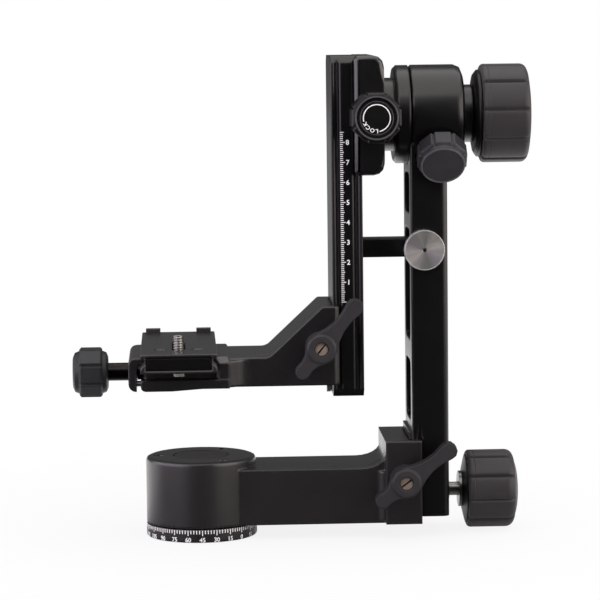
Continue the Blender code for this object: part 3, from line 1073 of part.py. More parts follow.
def make_swing():
    """Tilt shaft and its retaining ring, collar, rail clamp and the screws that hold them together."""
    middle = (0, 0, TILT_HEIGHT)
    shaft = rod(TILT_SHAFT_LEFT, TILT_SHAFT_RIGHT, TILT_SHAFT_RADIUS, (1, 0, 0), middle, 20)
    add_piece("tilt_shaft", shaft, "steel", "swing")
    neck_left = RAIL_CLAMP_RIGHT + SEAT_GAP
    right = HUB_LEFT - SEAM_GAP
    bore = TILT_SHAFT_RADIUS + SEAT_GAP
    collar_profile = [(neck_left, bore), (neck_left, NECK_RADIUS), (COLLAR_LEFT, NECK_RADIUS),
                      (COLLAR_LEFT, COLLAR_RADIUS - COLLAR_BREAK),
                      (COLLAR_LEFT + COLLAR_BREAK, COLLAR_RADIUS),
                      (right, COLLAR_RADIUS), (right, bore)]
    collar = add_piece("tilt_collar", turned(collar_profile, (1, 0, 0), middle, 32), "dark_anodised", "swing")
    corner, edge = RAIL_CLAMP_CORNER, RAIL_CLAMP_EDGE
    outline = rounded([(RAIL_CLAMP_LEFT, RAIL_CLAMP_BOTTOM, edge),
                       (RAIL_CLAMP_RIGHT, RAIL_CLAMP_BOTTOM, corner),
                       (RAIL_CLAMP_RIGHT, RAIL_CLAMP_TOP, corner),
                       (RAIL_CLAMP_LEFT, RAIL_CLAMP_TOP, edge)], 3)
    body = prism(outline, "Y", -CLAMP_HALF, CLAMP_HALF)
    body = soften(body, edge, 2, on_plane("Y", -CLAMP_HALF, CLAMP_HALF))
    clamp = add_piece("rail_clamp", body, "dark_anodised", "swing")
    floor = RAIL_RIGHT + SEAT_GAP
    groove_start = RAIL_RIGHT - RAIL_FLANGE
    low, high = RAIL_CLAMP_BOTTOM - OVERRUN, RAIL_CLAMP_TOP + OVERRUN
    cut(clamp, prism(channel(floor, groove_start, -1), "Z", low, high), "swing", "rail_channel")
    slit_front = JAW_LEAF - CLAMP_HALF
    slit_end = RAIL_CLAMP_RIGHT - RAIL_CLAMP_HINGE
    cut(clamp, block((RAIL_CLAMP_LEFT, slit_end), (slit_front, slit_front + SAW_CUT),
                     (low, high)), "swing", "clamp_slit")
    cut(clamp, rod(TILT_SHAFT_LEFT - SEAT_GAP, RAIL_CLAMP_RIGHT + OVERRUN, bore, (1, 0, 0), middle, 20),
        "swing", "shaft_seat")
    seat = CLAMP_HALF - LOCK_BOLT_HEAD_DEPTH - SEAT_GAP
    lock_bore = [(-CLAMP_HALF - OVERRUN, 0), (-CLAMP_HALF - OVERRUN, LOCK_BOLT_RADIUS + RUN_GAP),
                 (seat, LOCK_BOLT_RADIUS + RUN_GAP), (seat, LOCK_BOLT_HEAD + RUN_GAP),
                 (CLAMP_HALF + OVERRUN, LOCK_BOLT_HEAD + RUN_GAP), (CLAMP_HALF + OVERRUN, 0)]
    cut(clamp, turned(lock_bore, (0, 1, 0), (LOCK_KNOB_X, 0, TILT_HEIGHT), 12), "swing", "lock_bore")
    head_holes, thread_holes = [], []
    head_left = floor + SEAT_GAP
    head_right = head_left + CLAMP_SCREW_HEAD_DEPTH
    reach = COLLAR_LEFT + CLAMP_SCREW_REACH
    for name, side in (("rail_clamp_screw_lower", -1), ("rail_clamp_screw_upper", 1)):
        spot = (0, 0, TILT_HEIGHT + side * CLAMP_SCREW_RISE)
        screw = turned([(head_left, 0), (head_left, CLAMP_SCREW_HEAD), (head_right, CLAMP_SCREW_HEAD),
                        (head_right, CLAMP_SCREW_SHANK), (reach, CLAMP_SCREW_SHANK), (reach, 0)],
                       (1, 0, 0), spot, 10)
        add_piece(name, screw, "steel", "swing")
        head_holes.append(turned([(floor - OVERRUN, 0), (floor - OVERRUN, CLAMP_SCREW_HEAD + SEAT_GAP),
                                  (head_right + SEAT_GAP, CLAMP_SCREW_HEAD + SEAT_GAP),
                                  (head_right + SEAT_GAP, CLAMP_SCREW_SHANK + SEAT_GAP),
                                  (RAIL_CLAMP_RIGHT + OVERRUN, CLAMP_SCREW_SHANK + SEAT_GAP),
                                  (RAIL_CLAMP_RIGHT + OVERRUN, 0)], (1, 0, 0), spot, 10))
        thread_holes.append(rod(neck_left - OVERRUN, reach + SEAT_GAP, CLAMP_SCREW_SHANK + SEAT_GAP,
                                (1, 0, 0), spot, 10))
    cut(clamp, together(*head_holes), "swing", "screw_holes")
    cut(collar, together(*thread_holes), "swing", "screw_holes")


def make_rail_lock():
    """The notched knob that locks the rail, its raised rim and its bolt across the clamp."""
    centre = (LOCK_KNOB_X, 0, TILT_HEIGHT)
    near = CLAMP_HALF + SEAT_GAP
    body_start = near + LOCK_KNOB_NECK
    rim_start = LOCK_KNOB_REACH - LOCK_RIM_STEP
    grip = notched_knob(body_start, rim_start, (0, -1, 0), centre)
    knob = add_piece("rail_lock_knob", grip, "plastic", "rail_lock")
    neck = rod(near, body_start + NOTCHED_EDGE, LOCK_KNOB_NECK_RADIUS, (0, -1, 0), centre, 16)
    join(knob, neck, "rail_lock", "neck")
    rim = ring(rim_start - NOTCHED_EDGE, LOCK_KNOB_REACH, LOCK_RIM_RADIUS - LOCK_RIM_WALL, LOCK_RIM_RADIUS,
               (0, -1, 0), centre, 28)
    join(knob, rim, "rail_lock", "rim")
    bolt_end = rim_start - KNOB_FACE_WALL
    cut(knob, rod(near - OVERRUN, bolt_end + SEAT_GAP, LOCK_BOLT_RADIUS + SEAT_GAP, (0, -1, 0), centre, 12),
        "rail_lock", "bolt_hole")
    head_low = CLAMP_HALF - LOCK_BOLT_HEAD_DEPTH
    bolt = [(-CLAMP_HALF, 0), (-CLAMP_HALF, LOCK_BOLT_HEAD), (-head_low, LOCK_BOLT_HEAD),
            (-head_low, LOCK_BOLT_RADIUS), (bolt_end, LOCK_BOLT_RADIUS), (bolt_end, 0)]
    add_piece("rail_lock_bolt", turned(bolt, (0, -1, 0), centre, 12), "steel", "rail_lock")


def make_rail():
    """Double dovetail rail with bevelled ends, and the screw that stops the platform sliding off."""
    side = [(RAIL_LEFT, -PROFILE_HALF), (RAIL_LEFT + RAIL_FLANGE, -PROFILE_HALF),
            (RAIL_LEFT + RAIL_FLANGE + GROOVE_WIDTH / 2, -WAISTED_HALF),
            (RAIL_LEFT + RAIL_FLANGE + GROOVE_WIDTH, -PROFILE_HALF)]
    front = side + [(RAIL_LEFT + RAIL_RIGHT - x, y) for x, y in side[::-1]]
    plan = front + [(x, -y) for x, y in front[::-1]]
    rail = add_piece("rail", prism(plan, "Z", RAIL_BOTTOM, RAIL_TOP), "dark_anodised", "rail")
    span = (RAIL_LEFT - OVERRUN, RAIL_RIGHT + OVERRUN)
    wedges = [end_wedge(side, PROFILE_HALF, end, RAIL_END_BEVEL, way, span)
              for side in (-1, 1) for end, way in ((RAIL_BOTTOM, -1), (RAIL_TOP, 1))]
    cut(rail, together(*wedges), "rail", "end_bevels")
    spot = (0, 0, STOP_SCREW_HEIGHT)
    tip = RAIL_LEFT + STOP_SCREW_REACH
    cut(rail, rod(RAIL_LEFT - OVERRUN, tip + SEAT_GAP, STOP_SCREW_SHANK + SEAT_GAP, (1, 0, 0), spot, 10),
        "rail", "stop_hole")
    head = RAIL_LEFT - SEAT_GAP
    screw = [(head - STOP_SCREW_HEAD, 0), (head - STOP_SCREW_HEAD, STOP_SCREW_RADIUS),
             (head, STOP_SCREW_RADIUS), (head, STOP_SCREW_SHANK), (tip, STOP_SCREW_SHANK), (tip, 0)]
    add_piece("rail_stop_screw", turned(screw, (1, 0, 0), spot, 12), "steel", "rail")


def make_platform():
    """Bracket and clamp bed in one casting: split dovetail clamp, sloping brace, neck, bed and fixed jaw."""
    outline = rounded([(NECK_BLEND_START - BED_CORNER, BRACKET_BOTTOM, 0), (BRACKET_RIGHT, BRACKET_BOTTOM, 0),
                       (BRACKET_RIGHT, BRACKET_PEAK, EDGE_BREAK),
                       (BRACKET_PEAK_X, BRACKET_PEAK, BRACKET_PEAK_ROUND),
                       (BRACKET_KNEE_X, BRACKET_DECK, BRACKET_KNEE_ROUND),
                       (NECK_BLEND_START - BED_CORNER, BRACKET_DECK, 0)], 3)
    brace = prism(outline, "Y", -CLAMP_HALF, CLAMP_HALF)
    brace = soften(brace, EDGE_BREAK, 1, lambda a, b: on_plane("Y", -CLAMP_HALF, CLAMP_HALF)(a, b)
                   and min(a.x, b.x) > NECK_BLEND_START and min(a.z, b.z) < max(a.z, b.z) + OVERRUN
                   and abs(a.x - b.x) > SEAT_GAP)
    platform = add_piece("platform", brace, "anodised", "platform")
    bed = rounded([(BED_LEFT, BED_TOP, EDGE_BREAK), (BED_LEFT, BED_BOTTOM, BED_CORNER),
                   (BED_THICK_END, BED_BOTTOM, 0), (BED_THIN_START, BRACKET_BOTTOM - BED_DROP, 0),
                   (NECK_BLEND_START, BRACKET_BOTTOM - BED_DROP, 0), (NECK_BLEND_START, BED_TOP, 0)], 3)
    join(platform, prism(bed, "Y", -BED_HALF, BED_HALF), "platform", "bed")
    floor_plan = rounded_box_outline((BED_LEFT + SEAT_GAP, -FLOOR_HALF), (FLOOR_RIGHT, FLOOR_HALF),
                                     FLOOR_CORNER, 3)
    join(platform, prism(floor_plan, "Z", BED_TOP - EDGE_BREAK, PLATE_BOTTOM - SEAT_GAP), "platform", "floor")
    lugs = block((JAW_INNER + SEAT_GAP, BED_LEFT + EDGE_BREAK), (-JAW_STOP_HALF, JAW_STOP_HALF),
                 (QR_HEIGHT - JAW_STOP_DROP, QR_HEIGHT + JAW_STOP_RISE))
    join(platform, lugs, "platform", "jaw_stops")
    tip = PLATE_X + JAW_TIP_HALF
    root = PLATE_X + PLATE_HALF + LOOSE_GAP
    under = DOVETAIL_APEX - (root - tip)
    jaw = [(root, BED_TOP - EDGE_BREAK), (FIXED_JAW_RIGHT, BED_TOP - EDGE_BREAK),
           (FIXED_JAW_RIGHT, JAW_TOP - EDGE_BREAK), (FIXED_JAW_RIGHT - EDGE_BREAK, JAW_TOP), (tip, JAW_TOP),
           (tip, DOVETAIL_APEX), (root, under)]
    end = BED_HALF - SEAT_GAP
    join(platform, prism(jaw, "Y", -end, end), "platform", "fixed_jaw")
    wedges = [end_wedge(side, end, JAW_TOP, FIXED_JAW_BEVEL, 1, (tip - OVERRUN, FIXED_JAW_RIGHT + OVERRUN))
              for side in (-1, 1)]
    cut(platform, together(*wedges), "platform", "jaw_bevels")
    blends = []
    run = NECK_BLEND_END - NECK_BLEND_START
    step = BED_HALF - CLAMP_HALF
    radius = (run ** 2 + step ** 2) / (2 * step)
    turn = 2 * atan2(step, run)
    for side in (-1, 1):
        hollow = arc((NECK_BLEND_END, side * (CLAMP_HALF + radius)), radius, -side * (pi / 2 + turn),
                     -side * pi / 2, 5)
        hollow[-1] = (hollow[-1][0], side * (CLAMP_HALF + TOUCH))
        inside = side * (CLAMP_HALF - BRACKET_END_BEVEL)
        back = NECK_BLEND_START - EDGE_BREAK
        start = (back, hollow[0][1] - side * LOOSE_GAP)
        blends.append(prism([start] + hollow[1:] + [(NECK_BLEND_END, inside), (back, inside)], "Z",
                            BRACKET_BOTTOM + SEAT_GAP, BRACKET_DECK - EDGE_BREAK))
    join(platform, together(*blends), "platform", "neck_blends")
    rail_floor = RAIL_LEFT - SEAT_GAP
    groove_start = RAIL_LEFT + RAIL_FLANGE
    low, high = BRACKET_BOTTOM - OVERRUN, BRACKET_PEAK + OVERRUN
    cut(platform, prism(channel(rail_floor, groove_start, 1), "Z", low, high), "platform", "rail_channel")
    corners = []
    for side in (-1, 1):
        outside = side * (CLAMP_HALF + OVERRUN)
        corners.append(prism([(BRACKET_RIGHT - BRACKET_END_BEVEL - OVERRUN, outside),
                              (BRACKET_RIGHT + OVERRUN, outside),
                              (BRACKET_RIGHT + OVERRUN, side * (CLAMP_HALF - BRACKET_END_BEVEL - OVERRUN))],
                             "Z", low, high))
    cut(platform, together(*corners), "platform", "end_bevels")
    slit_front = JAW_LEAF - CLAMP_HALF
    cut(platform, block((BRACKET_SLIT_START, RAIL_LEFT), (slit_front, slit_front + SAW_CUT), (low, high)),
        "platform", "clamp_slit")
    cut(platform, clamp_bolt_bore(UPPER_PIVOT_X, UPPER_PIVOT_Z), "platform", "bolt_bore")
    thread_end = BED_LEFT + QR_THREAD_DEPTH
    holes = [rod(BED_LEFT - OVERRUN, thread_end + LOOSE_GAP, QR_THREAD_RADIUS + SEAT_GAP, (1, 0, 0),
                 (0, 0, QR_HEIGHT), 12)]
    for side in (-1, 1):
        spot = (0, side * GUIDE_PIN_SPREAD, GUIDE_PIN_HEIGHT)
        holes.append(rod(BED_LEFT - OVERRUN, BED_LEFT + GUIDE_PIN_DEPTH + SEAT_GAP,
                         GUIDE_PIN_RADIUS + SEAT_GAP, (1, 0, 0), spot, 8))
    cut(platform, together(*holes), "platform", "jaw_bores")


def make_jaw():
    """The moving jaw, its two guide pins, and the knob and threaded shaft that draw it in."""
    tip = PLATE_X - JAW_TIP_HALF
    root = PLATE_X - PLATE_HALF - LOOSE_GAP
    under = DOVETAIL_APEX - (tip - root)
    outline = rounded([(tip, JAW_TOP, 0), (JAW_LEFT, JAW_TOP, JAW_BROW), (JAW_LEFT, JAW_BOTTOM, JAW_FOOT),
                       (JAW_INNER, JAW_BOTTOM, 0), (JAW_INNER, under - (root - JAW_INNER), 0),
                       (root, under, 0), (tip, DOVETAIL_APEX, 0)], 4)
    body = prism(outline, "Y", -JAW_HALF, JAW_HALF)
    body = soften(body, EDGE_BREAK, 1, lambda a, b: on_plane("Y", -JAW_HALF, JAW_HALF)(a, b)
                  and min(a.z, b.z) > JAW_TOP - JAW_BROW - SEAT_GAP and max(a.x, b.x) < tip - SEAT_GAP)
    jaw = add_piece("moving_jaw", body, "anodised", "jaw")
    centre = (JAW_LEFT + JAW_CORNER, JAW_HALF - JAW_CORNER)
    sweep = arc(centre, JAW_CORNER, pi / 2, pi, 5)
    outside = [(JAW_LEFT - OVERRUN, sweep[-1][1]), (JAW_LEFT - OVERRUN, JAW_HALF + OVERRUN),
               (sweep[0][0], JAW_HALF + OVERRUN)]
    cut(jaw, prism(sweep + outside, "Z", JAW_BOTTOM - OVERRUN, JAW_TOP + OVERRUN), "jaw", "rear_corner")
    cut(jaw, rod(JAW_LEFT - OVERRUN, JAW_INNER + OVERRUN, QR_THREAD_RADIUS + RUN_GAP, (1, 0, 0),
                 (0, 0, QR_HEIGHT), 12), "jaw", "screw_hole")
    pin_holes = []
    start = (JAW_LEFT + JAW_INNER) / 2
    for name, side in (("jaw_guide_pin_front", -1), ("jaw_guide_pin_rear", 1)):
        spot = (0, side * GUIDE_PIN_SPREAD, GUIDE_PIN_HEIGHT)
        pin = rod(start, BED_LEFT + GUIDE_PIN_DEPTH, GUIDE_PIN_RADIUS, (1, 0, 0), spot, 8)
        add_piece(name, pin, "steel", "jaw")
        pin_holes.append(rod(start - SEAT_GAP, JAW_INNER + OVERRUN, GUIDE_PIN_RADIUS + SEAT_GAP,
                             (1, 0, 0), spot, 8))
    cut(jaw, together(*pin_holes), "jaw", "pin_holes")
    middle = (0, 0, QR_HEIGHT)
    grip = notched_knob(QR_GRIP_LEFT, QR_GRIP_RIGHT, (1, 0, 0), middle)
    knob = add_piece("quick_release_knob", grip, "plastic", "jaw_knob")
    ends = []
    for face, end in ((QR_GRIP_LEFT, QR_END_LEFT), (QR_GRIP_RIGHT, QR_END_RIGHT)):
        way = 1 if end > face else -1
        depth = abs(end - face)
        start = face - way * KNOB_OVERLAP
        dome = [(start, 0), (start, QR_END_RADIUS)]
        dome += [(face + way * depth * sin(a), QR_END_RADIUS - depth * (1 - cos(a))) for a in (0, pi / 4)]
        dome += [(end, QR_END_RADIUS - depth), (end, 0)]
        if way < 0:
            dome = dome[::-1]
        ends.append(turned(dome, (1, 0, 0), middle, 18))
    join(knob, together(*ends), "jaw_knob", "ends")
    socket = QR_GRIP_LEFT + KNOB_OVERLAP
    shaft_hole = rod(socket - SEAT_GAP, QR_END_RIGHT + OVERRUN, QR_SHAFT_RADIUS + SEAT_GAP,
                     (1, 0, 0), middle, 16)
    cut(knob, shaft_hole, "jaw_knob", "shaft_hole")
    shoulder = JAW_LEFT - SEAT_GAP
    thread_end = BED_LEFT + QR_THREAD_DEPTH
    shaft = [(socket, 0), (socket, QR_SHAFT_RADIUS), (shoulder, QR_SHAFT_RADIUS),
             (shoulder, QR_THREAD_RADIUS), (thread_end, QR_THREAD_RADIUS), (thread_end, 0)]
    add_piece("quick_release_shaft", turned(shaft, (1, 0, 0), middle, 16), "steel", "jaw_knob")


def make_plate():
    """Camera plate with its dovetail edges, label recesses, screw slot, rear stops and screws."""
    upper = DOVETAIL_APEX + PLATE_WAIST
    side = [(PLATE_HALF, PLATE_BOTTOM), (PLATE_HALF, DOVETAIL_LOW), (DOVETAIL_WAIST, DOVETAIL_APEX),
            (DOVETAIL_WAIST, upper), (PLATE_HALF, upper + PLATE_NOTCH), (PLATE_HALF, PLATE_TOP - PLATE_EDGE),
            (PLATE_HALF - PLATE_EDGE, PLATE_TOP)]
    section = [(PLATE_X + x, z) for x, z in side] + [(PLATE_X - x, z) for x, z in side[::-1]]
    back = PLATE_FRONT + PLATE_LENGTH
    plate = add_piece("camera_plate", prism(section, "Y", PLATE_FRONT, back), "anodised", "plate")
    half = DOVETAIL_WAIST - LABEL_EDGE / 2
    span = (PLATE_X - half, PLATE_X + half)
    height = (PLATE_BOTTOM + LABEL_EDGE, PLATE_TOP - LABEL_EDGE)
    labels = [block(span, (PLATE_FRONT - OVERRUN, PLATE_FRONT + LABEL_DEPTH), height),
              block(span, (back - LABEL_DEPTH, back + OVERRUN), height)]
    cut(plate, together(*labels), "plate", "label_recesses")
    slot_half = CAMERA_SCREW_RADIUS + SEAT_GAP
    middle = PLATE_X
    slot = arc((middle, CAMERA_SLOT_END), slot_half, 0, pi, 6)
    slot += arc((middle, CAMERA_SCREW_Y), slot_half, pi, 2 * pi, 6)
    wide_half = CAMERA_SCREW_HEAD + SEAT_GAP
    wide = arc((middle, CAMERA_SLOT_END), wide_half, 0, pi, 8)
    wide += arc((middle, CAMERA_SCREW_Y), wide_half, pi, 2 * pi, 8)
    shelf = PLATE_BOTTOM + CAMERA_SCREW_HEAD_DEPTH + LOOSE_GAP
    cut(plate, prism(slot, "Z", PLATE_BOTTOM - OVERRUN, PLATE_TOP + OVERRUN), "plate", "screw_slot")
    cut(plate, prism(wide, "Z", PLATE_BOTTOM - OVERRUN, shelf), "plate", "head_slot")
    holes = [rod(PLATE_TOP - PIN_HOLE_DEPTH, PLATE_TOP + OVERRUN, PIN_HOLE_RADIUS, (0, 0, 1),
                 (middle + way * PIN_HOLE_OFFSET, CAMERA_SCREW_Y, 0), 16) for way in (-1, 1)]
    seats = []
    for name, way in (("plate_stop_left", -1), ("plate_stop_right", 1)):
        spot = middle + way * STOP_OFFSET
        low, high = spot - STOP_WIDTH / 2, spot + STOP_WIDTH / 2
        near, far = back - STOP_BACK - STOP_DEPTH, back - STOP_BACK
        seats.append(block((low - SEAT_GAP, high + SEAT_GAP), (near - SEAT_GAP, far + SEAT_GAP),
                           (PLATE_TOP - STOP_SUNK - SEAT_GAP, PLATE_TOP + OVERRUN)))
        stop = block((low, high), (near, far), (PLATE_TOP - STOP_SUNK, PLATE_TOP + STOP_RISE))
        add_piece(name, stop, "rubber", "plate")
    cut(plate, together(*holes, *seats), "plate", "top_holes")
    screw_holes = []
    for name, y in (("plate_safety_screw_front", PLATE_FRONT + SAFETY_FRONT),
                    ("plate_safety_screw_rear", back - SAFETY_REAR)):
        low = PLATE_BOTTOM - SEAT_GAP - SAFETY_HEAD
        high = PLATE_BOTTOM - SEAT_GAP
        tip = PLATE_BOTTOM + SAFETY_REACH
        screw = turned([(low, 0), (low, SAFETY_RADIUS), (high, SAFETY_RADIUS), (high, SAFETY_SHANK),
                        (tip, SAFETY_SHANK), (tip, 0)], (0, 0, 1), (middle, y, 0), 12)
        add_piece(name, screw, "steel", "plate")
        screw_holes.append(rod(PLATE_BOTTOM - OVERRUN, tip + SEAT_GAP, SAFETY_SHANK + SEAT_GAP, (0, 0, 1),
                               (middle, y, 0), 8))
    cut(plate, together(*screw_holes), "plate", "safety_holes")
    head_low = PLATE_BOTTOM + SEAT_GAP
    head_high = PLATE_BOTTOM + CAMERA_SCREW_HEAD_DEPTH
    top = PLATE_TOP + CAMERA_SCREW_RISE
    screw = [(head_low, 0), (head_low, CAMERA_SCREW_HEAD), (head_high, CAMERA_SCREW_HEAD),
             (head_high, CAMERA_SCREW_RADIUS), (top - RING_BREAK, CAMERA_SCREW_RADIUS),
             (top, CAMERA_SCREW_RADIUS - RING_BREAK), (top, 0)]
    add_piece("camera_screw", turned(screw, (0, 0, 1), (middle, CAMERA_SCREW_Y, 0), 16), "steel",
              "camera_screw")


clear_scene()
FINISHES = make_finishes()
EMPTIES = make_bodies()
make_base()
make_base_arm()
make_arm_inside()
make_pan_lock()
make_lever("foot", "arm", "foot_lever", LOWER_PIVOT_X, LOWER_PIVOT_Z, LOWER_LEVER_ANGLE)
make_upright()
make_hub_inside()
make_tilt_lock()
make_drag()
make_latch()
make_swing()
make_rail_lock()
make_rail()
make_platform()
make_lever("platform", "platform", "platform_lever", UPPER_PIVOT_X, UPPER_PIVOT_Z, UPPER_LEVER_ANGLE)
make_jaw()
make_plate()
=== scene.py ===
# %% [markdown]
# # A gimbal tripod head
# A gimbal head holds a long lens on a tripod. A base pans on the tripod, an arm and an upright carry a
# hub, and a rail hangs from the hub and swings with the lens. This lesson dresses the engineering model
# of the head: it gives each machined, moulded or turned piece its finish, adds the printed scales and
# the finest forms, and lights the whole as for a catalogue picture. The solids themselves come from the
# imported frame, so everything here is placed in metres, in the frame's own axes: X along the arm, Y
# towards the back, Z up.

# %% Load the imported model
from math import ceil, cos, degrees, pi, radians, sin

import bmesh
import bpy
from mathutils import Euler, Matrix, Vector


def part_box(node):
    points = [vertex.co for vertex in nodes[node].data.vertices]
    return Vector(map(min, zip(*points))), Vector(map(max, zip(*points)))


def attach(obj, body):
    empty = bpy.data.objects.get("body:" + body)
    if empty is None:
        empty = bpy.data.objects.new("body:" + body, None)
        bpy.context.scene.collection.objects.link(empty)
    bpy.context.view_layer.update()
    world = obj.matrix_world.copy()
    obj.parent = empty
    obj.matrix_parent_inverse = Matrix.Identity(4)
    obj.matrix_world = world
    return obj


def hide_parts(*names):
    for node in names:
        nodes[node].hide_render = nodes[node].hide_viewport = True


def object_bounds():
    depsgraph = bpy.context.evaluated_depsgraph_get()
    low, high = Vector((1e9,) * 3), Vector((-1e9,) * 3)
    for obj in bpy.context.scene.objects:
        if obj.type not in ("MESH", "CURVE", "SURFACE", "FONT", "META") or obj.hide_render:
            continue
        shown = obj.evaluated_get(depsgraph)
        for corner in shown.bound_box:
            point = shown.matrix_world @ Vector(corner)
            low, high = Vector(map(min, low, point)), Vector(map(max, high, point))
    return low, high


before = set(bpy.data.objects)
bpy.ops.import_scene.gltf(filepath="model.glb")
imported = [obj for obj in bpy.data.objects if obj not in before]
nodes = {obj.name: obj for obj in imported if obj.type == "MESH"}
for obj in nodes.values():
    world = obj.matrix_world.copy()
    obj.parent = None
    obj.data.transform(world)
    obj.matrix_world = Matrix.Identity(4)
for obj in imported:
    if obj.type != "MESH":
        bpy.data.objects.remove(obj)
cad_low, cad_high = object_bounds()
MM = 0.001
print("pieces in the frame:", len(nodes))

# %% [markdown]
# ## The camera
# A product photograph of this kind is taken from far away with a long lens, so that parallel edges stay
# nearly parallel. The camera could be placed by eye, but its place here was worked out from points of
# the photograph whose real position is known, and it then stands 1.4 m in front of the head, a little
# above it, and looks slightly down.

# %% The camera
CAMERA_PLACE = Vector((-0.0095, -1.4149, 0.2636))
LENS_MM, SENSOR_MM = 168.06, 36.0
TURN_RIGHT, LOOK_DOWN, LEAN = radians(2.47), radians(5.83), radians(0.68)
NEAREST_SEEN, FURTHEST_SEEN = 0.05, 50.0

camera_data = bpy.data.cameras.new("catalogue_camera")
camera_data.lens = LENS_MM
camera_data.sensor_width = SENSOR_MM
camera_data.clip_start = NEAREST_SEEN
camera_data.clip_end = FURTHEST_SEEN
camera = bpy.data.objects.new("catalogue_camera", camera_data)
bpy.context.scene.collection.objects.link(camera)
aim = Euler((pi / 2 - LOOK_DOWN, 0, -TURN_RIGHT), "XYZ").to_matrix()
camera.matrix_world = Matrix.Translation(CAMERA_PLACE) @ (aim @ Matrix.Rotation(-LEAN, 3, "Z")).to_4x4()
bpy.context.scene.camera = camera
print("camera distance to the pan axis:", round(CAMERA_PLACE.length, 3), "m")

# %% [markdown]
# ## Colours and nodes
# Colours are written as sRGB hex values, as a designer reads them from a swatch, while the shaders
# calculate in linear light. One function turns the one into the other. A second small function adds a
# shader node, sets its values and links its inputs, which keeps each material short enough to read.


# %% Colour and node helpers
def linear(hex_colour):
    """An sRGB hex value such as #202020 as linear red, green, blue and alpha."""
    parts = [int(hex_colour[i:i + 2], 16) / 255 for i in (1, 3, 5)]
    return [c / 12.92 if c <= 0.04045 else ((c + 0.055) / 1.055) ** 2.4 for c in parts] + [1.0]


def add(tree, kind, values=None, *given, **links):
    """Add a node. values sets its options and free sockets by name, given fills its inputs in their
    order with numbers or other nodes' sockets, and links joins named inputs to sockets."""
    node = tree.nodes.new(kind)
    for key, value in (values or {}).items():
        if key in node.inputs.keys():
            node.inputs[key].default_value = value
        else:
            setattr(node, key, value)
    for index, value in enumerate(given):
        if isinstance(value, bpy.types.NodeSocket):
            tree.links.new(value, node.inputs[index])
        else:
            node.inputs[index].default_value = value
    for name, socket in links.items():
        tree.links.new(socket, node.inputs[name.replace("_", " ")])
    return node


def new_material(name, colour, roughness, metallic=0.0, **sockets):
    """A Principled material with its constant values set straight on the shader."""
    material = bpy.data.materials.new(name)
    material.use_nodes = True
    shader = material.node_tree.nodes["Principled BSDF"]
    shader.inputs["Base Color"].default_value = linear(colour)
    shader.inputs["Roughness"].default_value = roughness
    shader.inputs["Metallic"].default_value = metallic
    for key, value in sockets.items():
        shader.inputs[key.replace("_", " ")].default_value = value
    material.diffuse_color = linear(colour)
    return material, material.node_tree, shader


def per_metre(size_mm):
    """Texture scale at which a pattern's features are about size_mm across."""
    return 1 / (size_mm * MM)


print("mid grey #808080 is", round(linear("#808080")[0], 3), "in linear light")

# %% [markdown]
# ## Black anodised aluminium
# The castings, the rail and the plate are aluminium, machined, blasted with fine beads and anodised
# black. The dye sits in a thin, hard layer of aluminium oxide, whose IOR is 1.76, so the surface is not
# a mirror-like metal: it is nearly black face on and turns grey towards the edges of curved forms, with
# a soft satin sheen. The bead dimples are about 0.1 mm, too fine for this picture, so they are drawn
# 0.5 mm wide and very shallow. Slow clouds in the roughness, 20 mm across, keep large faces from
# looking like paint. Blasting and wear soften a real edge, and the Bevel node does that to the light
# along each edge, over a width in millimetres, without changing the shape.


# %% A blasted and anodised finish
OXIDE_IOR, SEALED_IOR = 1.76, 1.6
CLOUD_MM, COAT_ROUGHNESS = 20, 0.25
EDGE_SAMPLES = 8


def blasted(name, dark, light, roughness, coat, edge_mm, grain_mm=0.5, depth_mm=0.02, ior=OXIDE_IOR):
    """An anodised, bead-blasted finish that wanders between two dark shades."""
    material, tree, shader = new_material(name, dark, roughness, IOR=ior, Coat_Weight=coat,
                                          Coat_Roughness=COAT_ROUGHNESS)
    place = add(tree, "ShaderNodeTexCoord").outputs["Object"]
    clouds = add(tree, "ShaderNodeTexNoise", {"Scale": per_metre(CLOUD_MM), "Detail": 3.0,
                                              "Roughness": 0.6}, Vector=place)
    beads = add(tree, "ShaderNodeTexNoise", {"Scale": per_metre(grain_mm), "Detail": 2.0}, Vector=place)
    shade = add(tree, "ShaderNodeMix", {"data_type": "RGBA", "A": linear(dark), "B": linear(light)},
                Factor=clouds.outputs["Fac"])
    gloss = add(tree, "ShaderNodeMapRange", {"To Min": roughness - 0.05, "To Max": roughness + 0.06},
                Value=clouds.outputs["Fac"])
    soft_edge = add(tree, "ShaderNodeBevel", {"samples": EDGE_SAMPLES, "Radius": edge_mm * MM})
    dimples = add(tree, "ShaderNodeBump", {"Strength": 0.25, "Distance": depth_mm * MM},
                  Height=beads.outputs["Fac"], Normal=soft_edge.outputs["Normal"])
    tree.links.new(shade.outputs["Result"], shader.inputs["Base Color"])
    tree.links.new(gloss.outputs["Result"], shader.inputs["Roughness"])
    tree.links.new(dimples.outputs["Normal"], shader.inputs["Normal"])
    tree.links.new(dimples.outputs["Normal"], shader.inputs["Coat Normal"])
    return material


print("clouds in the finish:", CLOUD_MM, "mm across")

# %% [markdown]
# ## Five batches of the same finish
# Parts that are anodised in different baths never match exactly, and here each group has its own: a
# satin black on the ring, the arm and the plate, a deeper one on the platform and its jaw, and a grey
# one on the round disc. The upright, the hub and the rail have the finest blasting and are sealed,
# which lowers the IOR and makes them the blackest. The rail clamp has that black too, with more gloss.

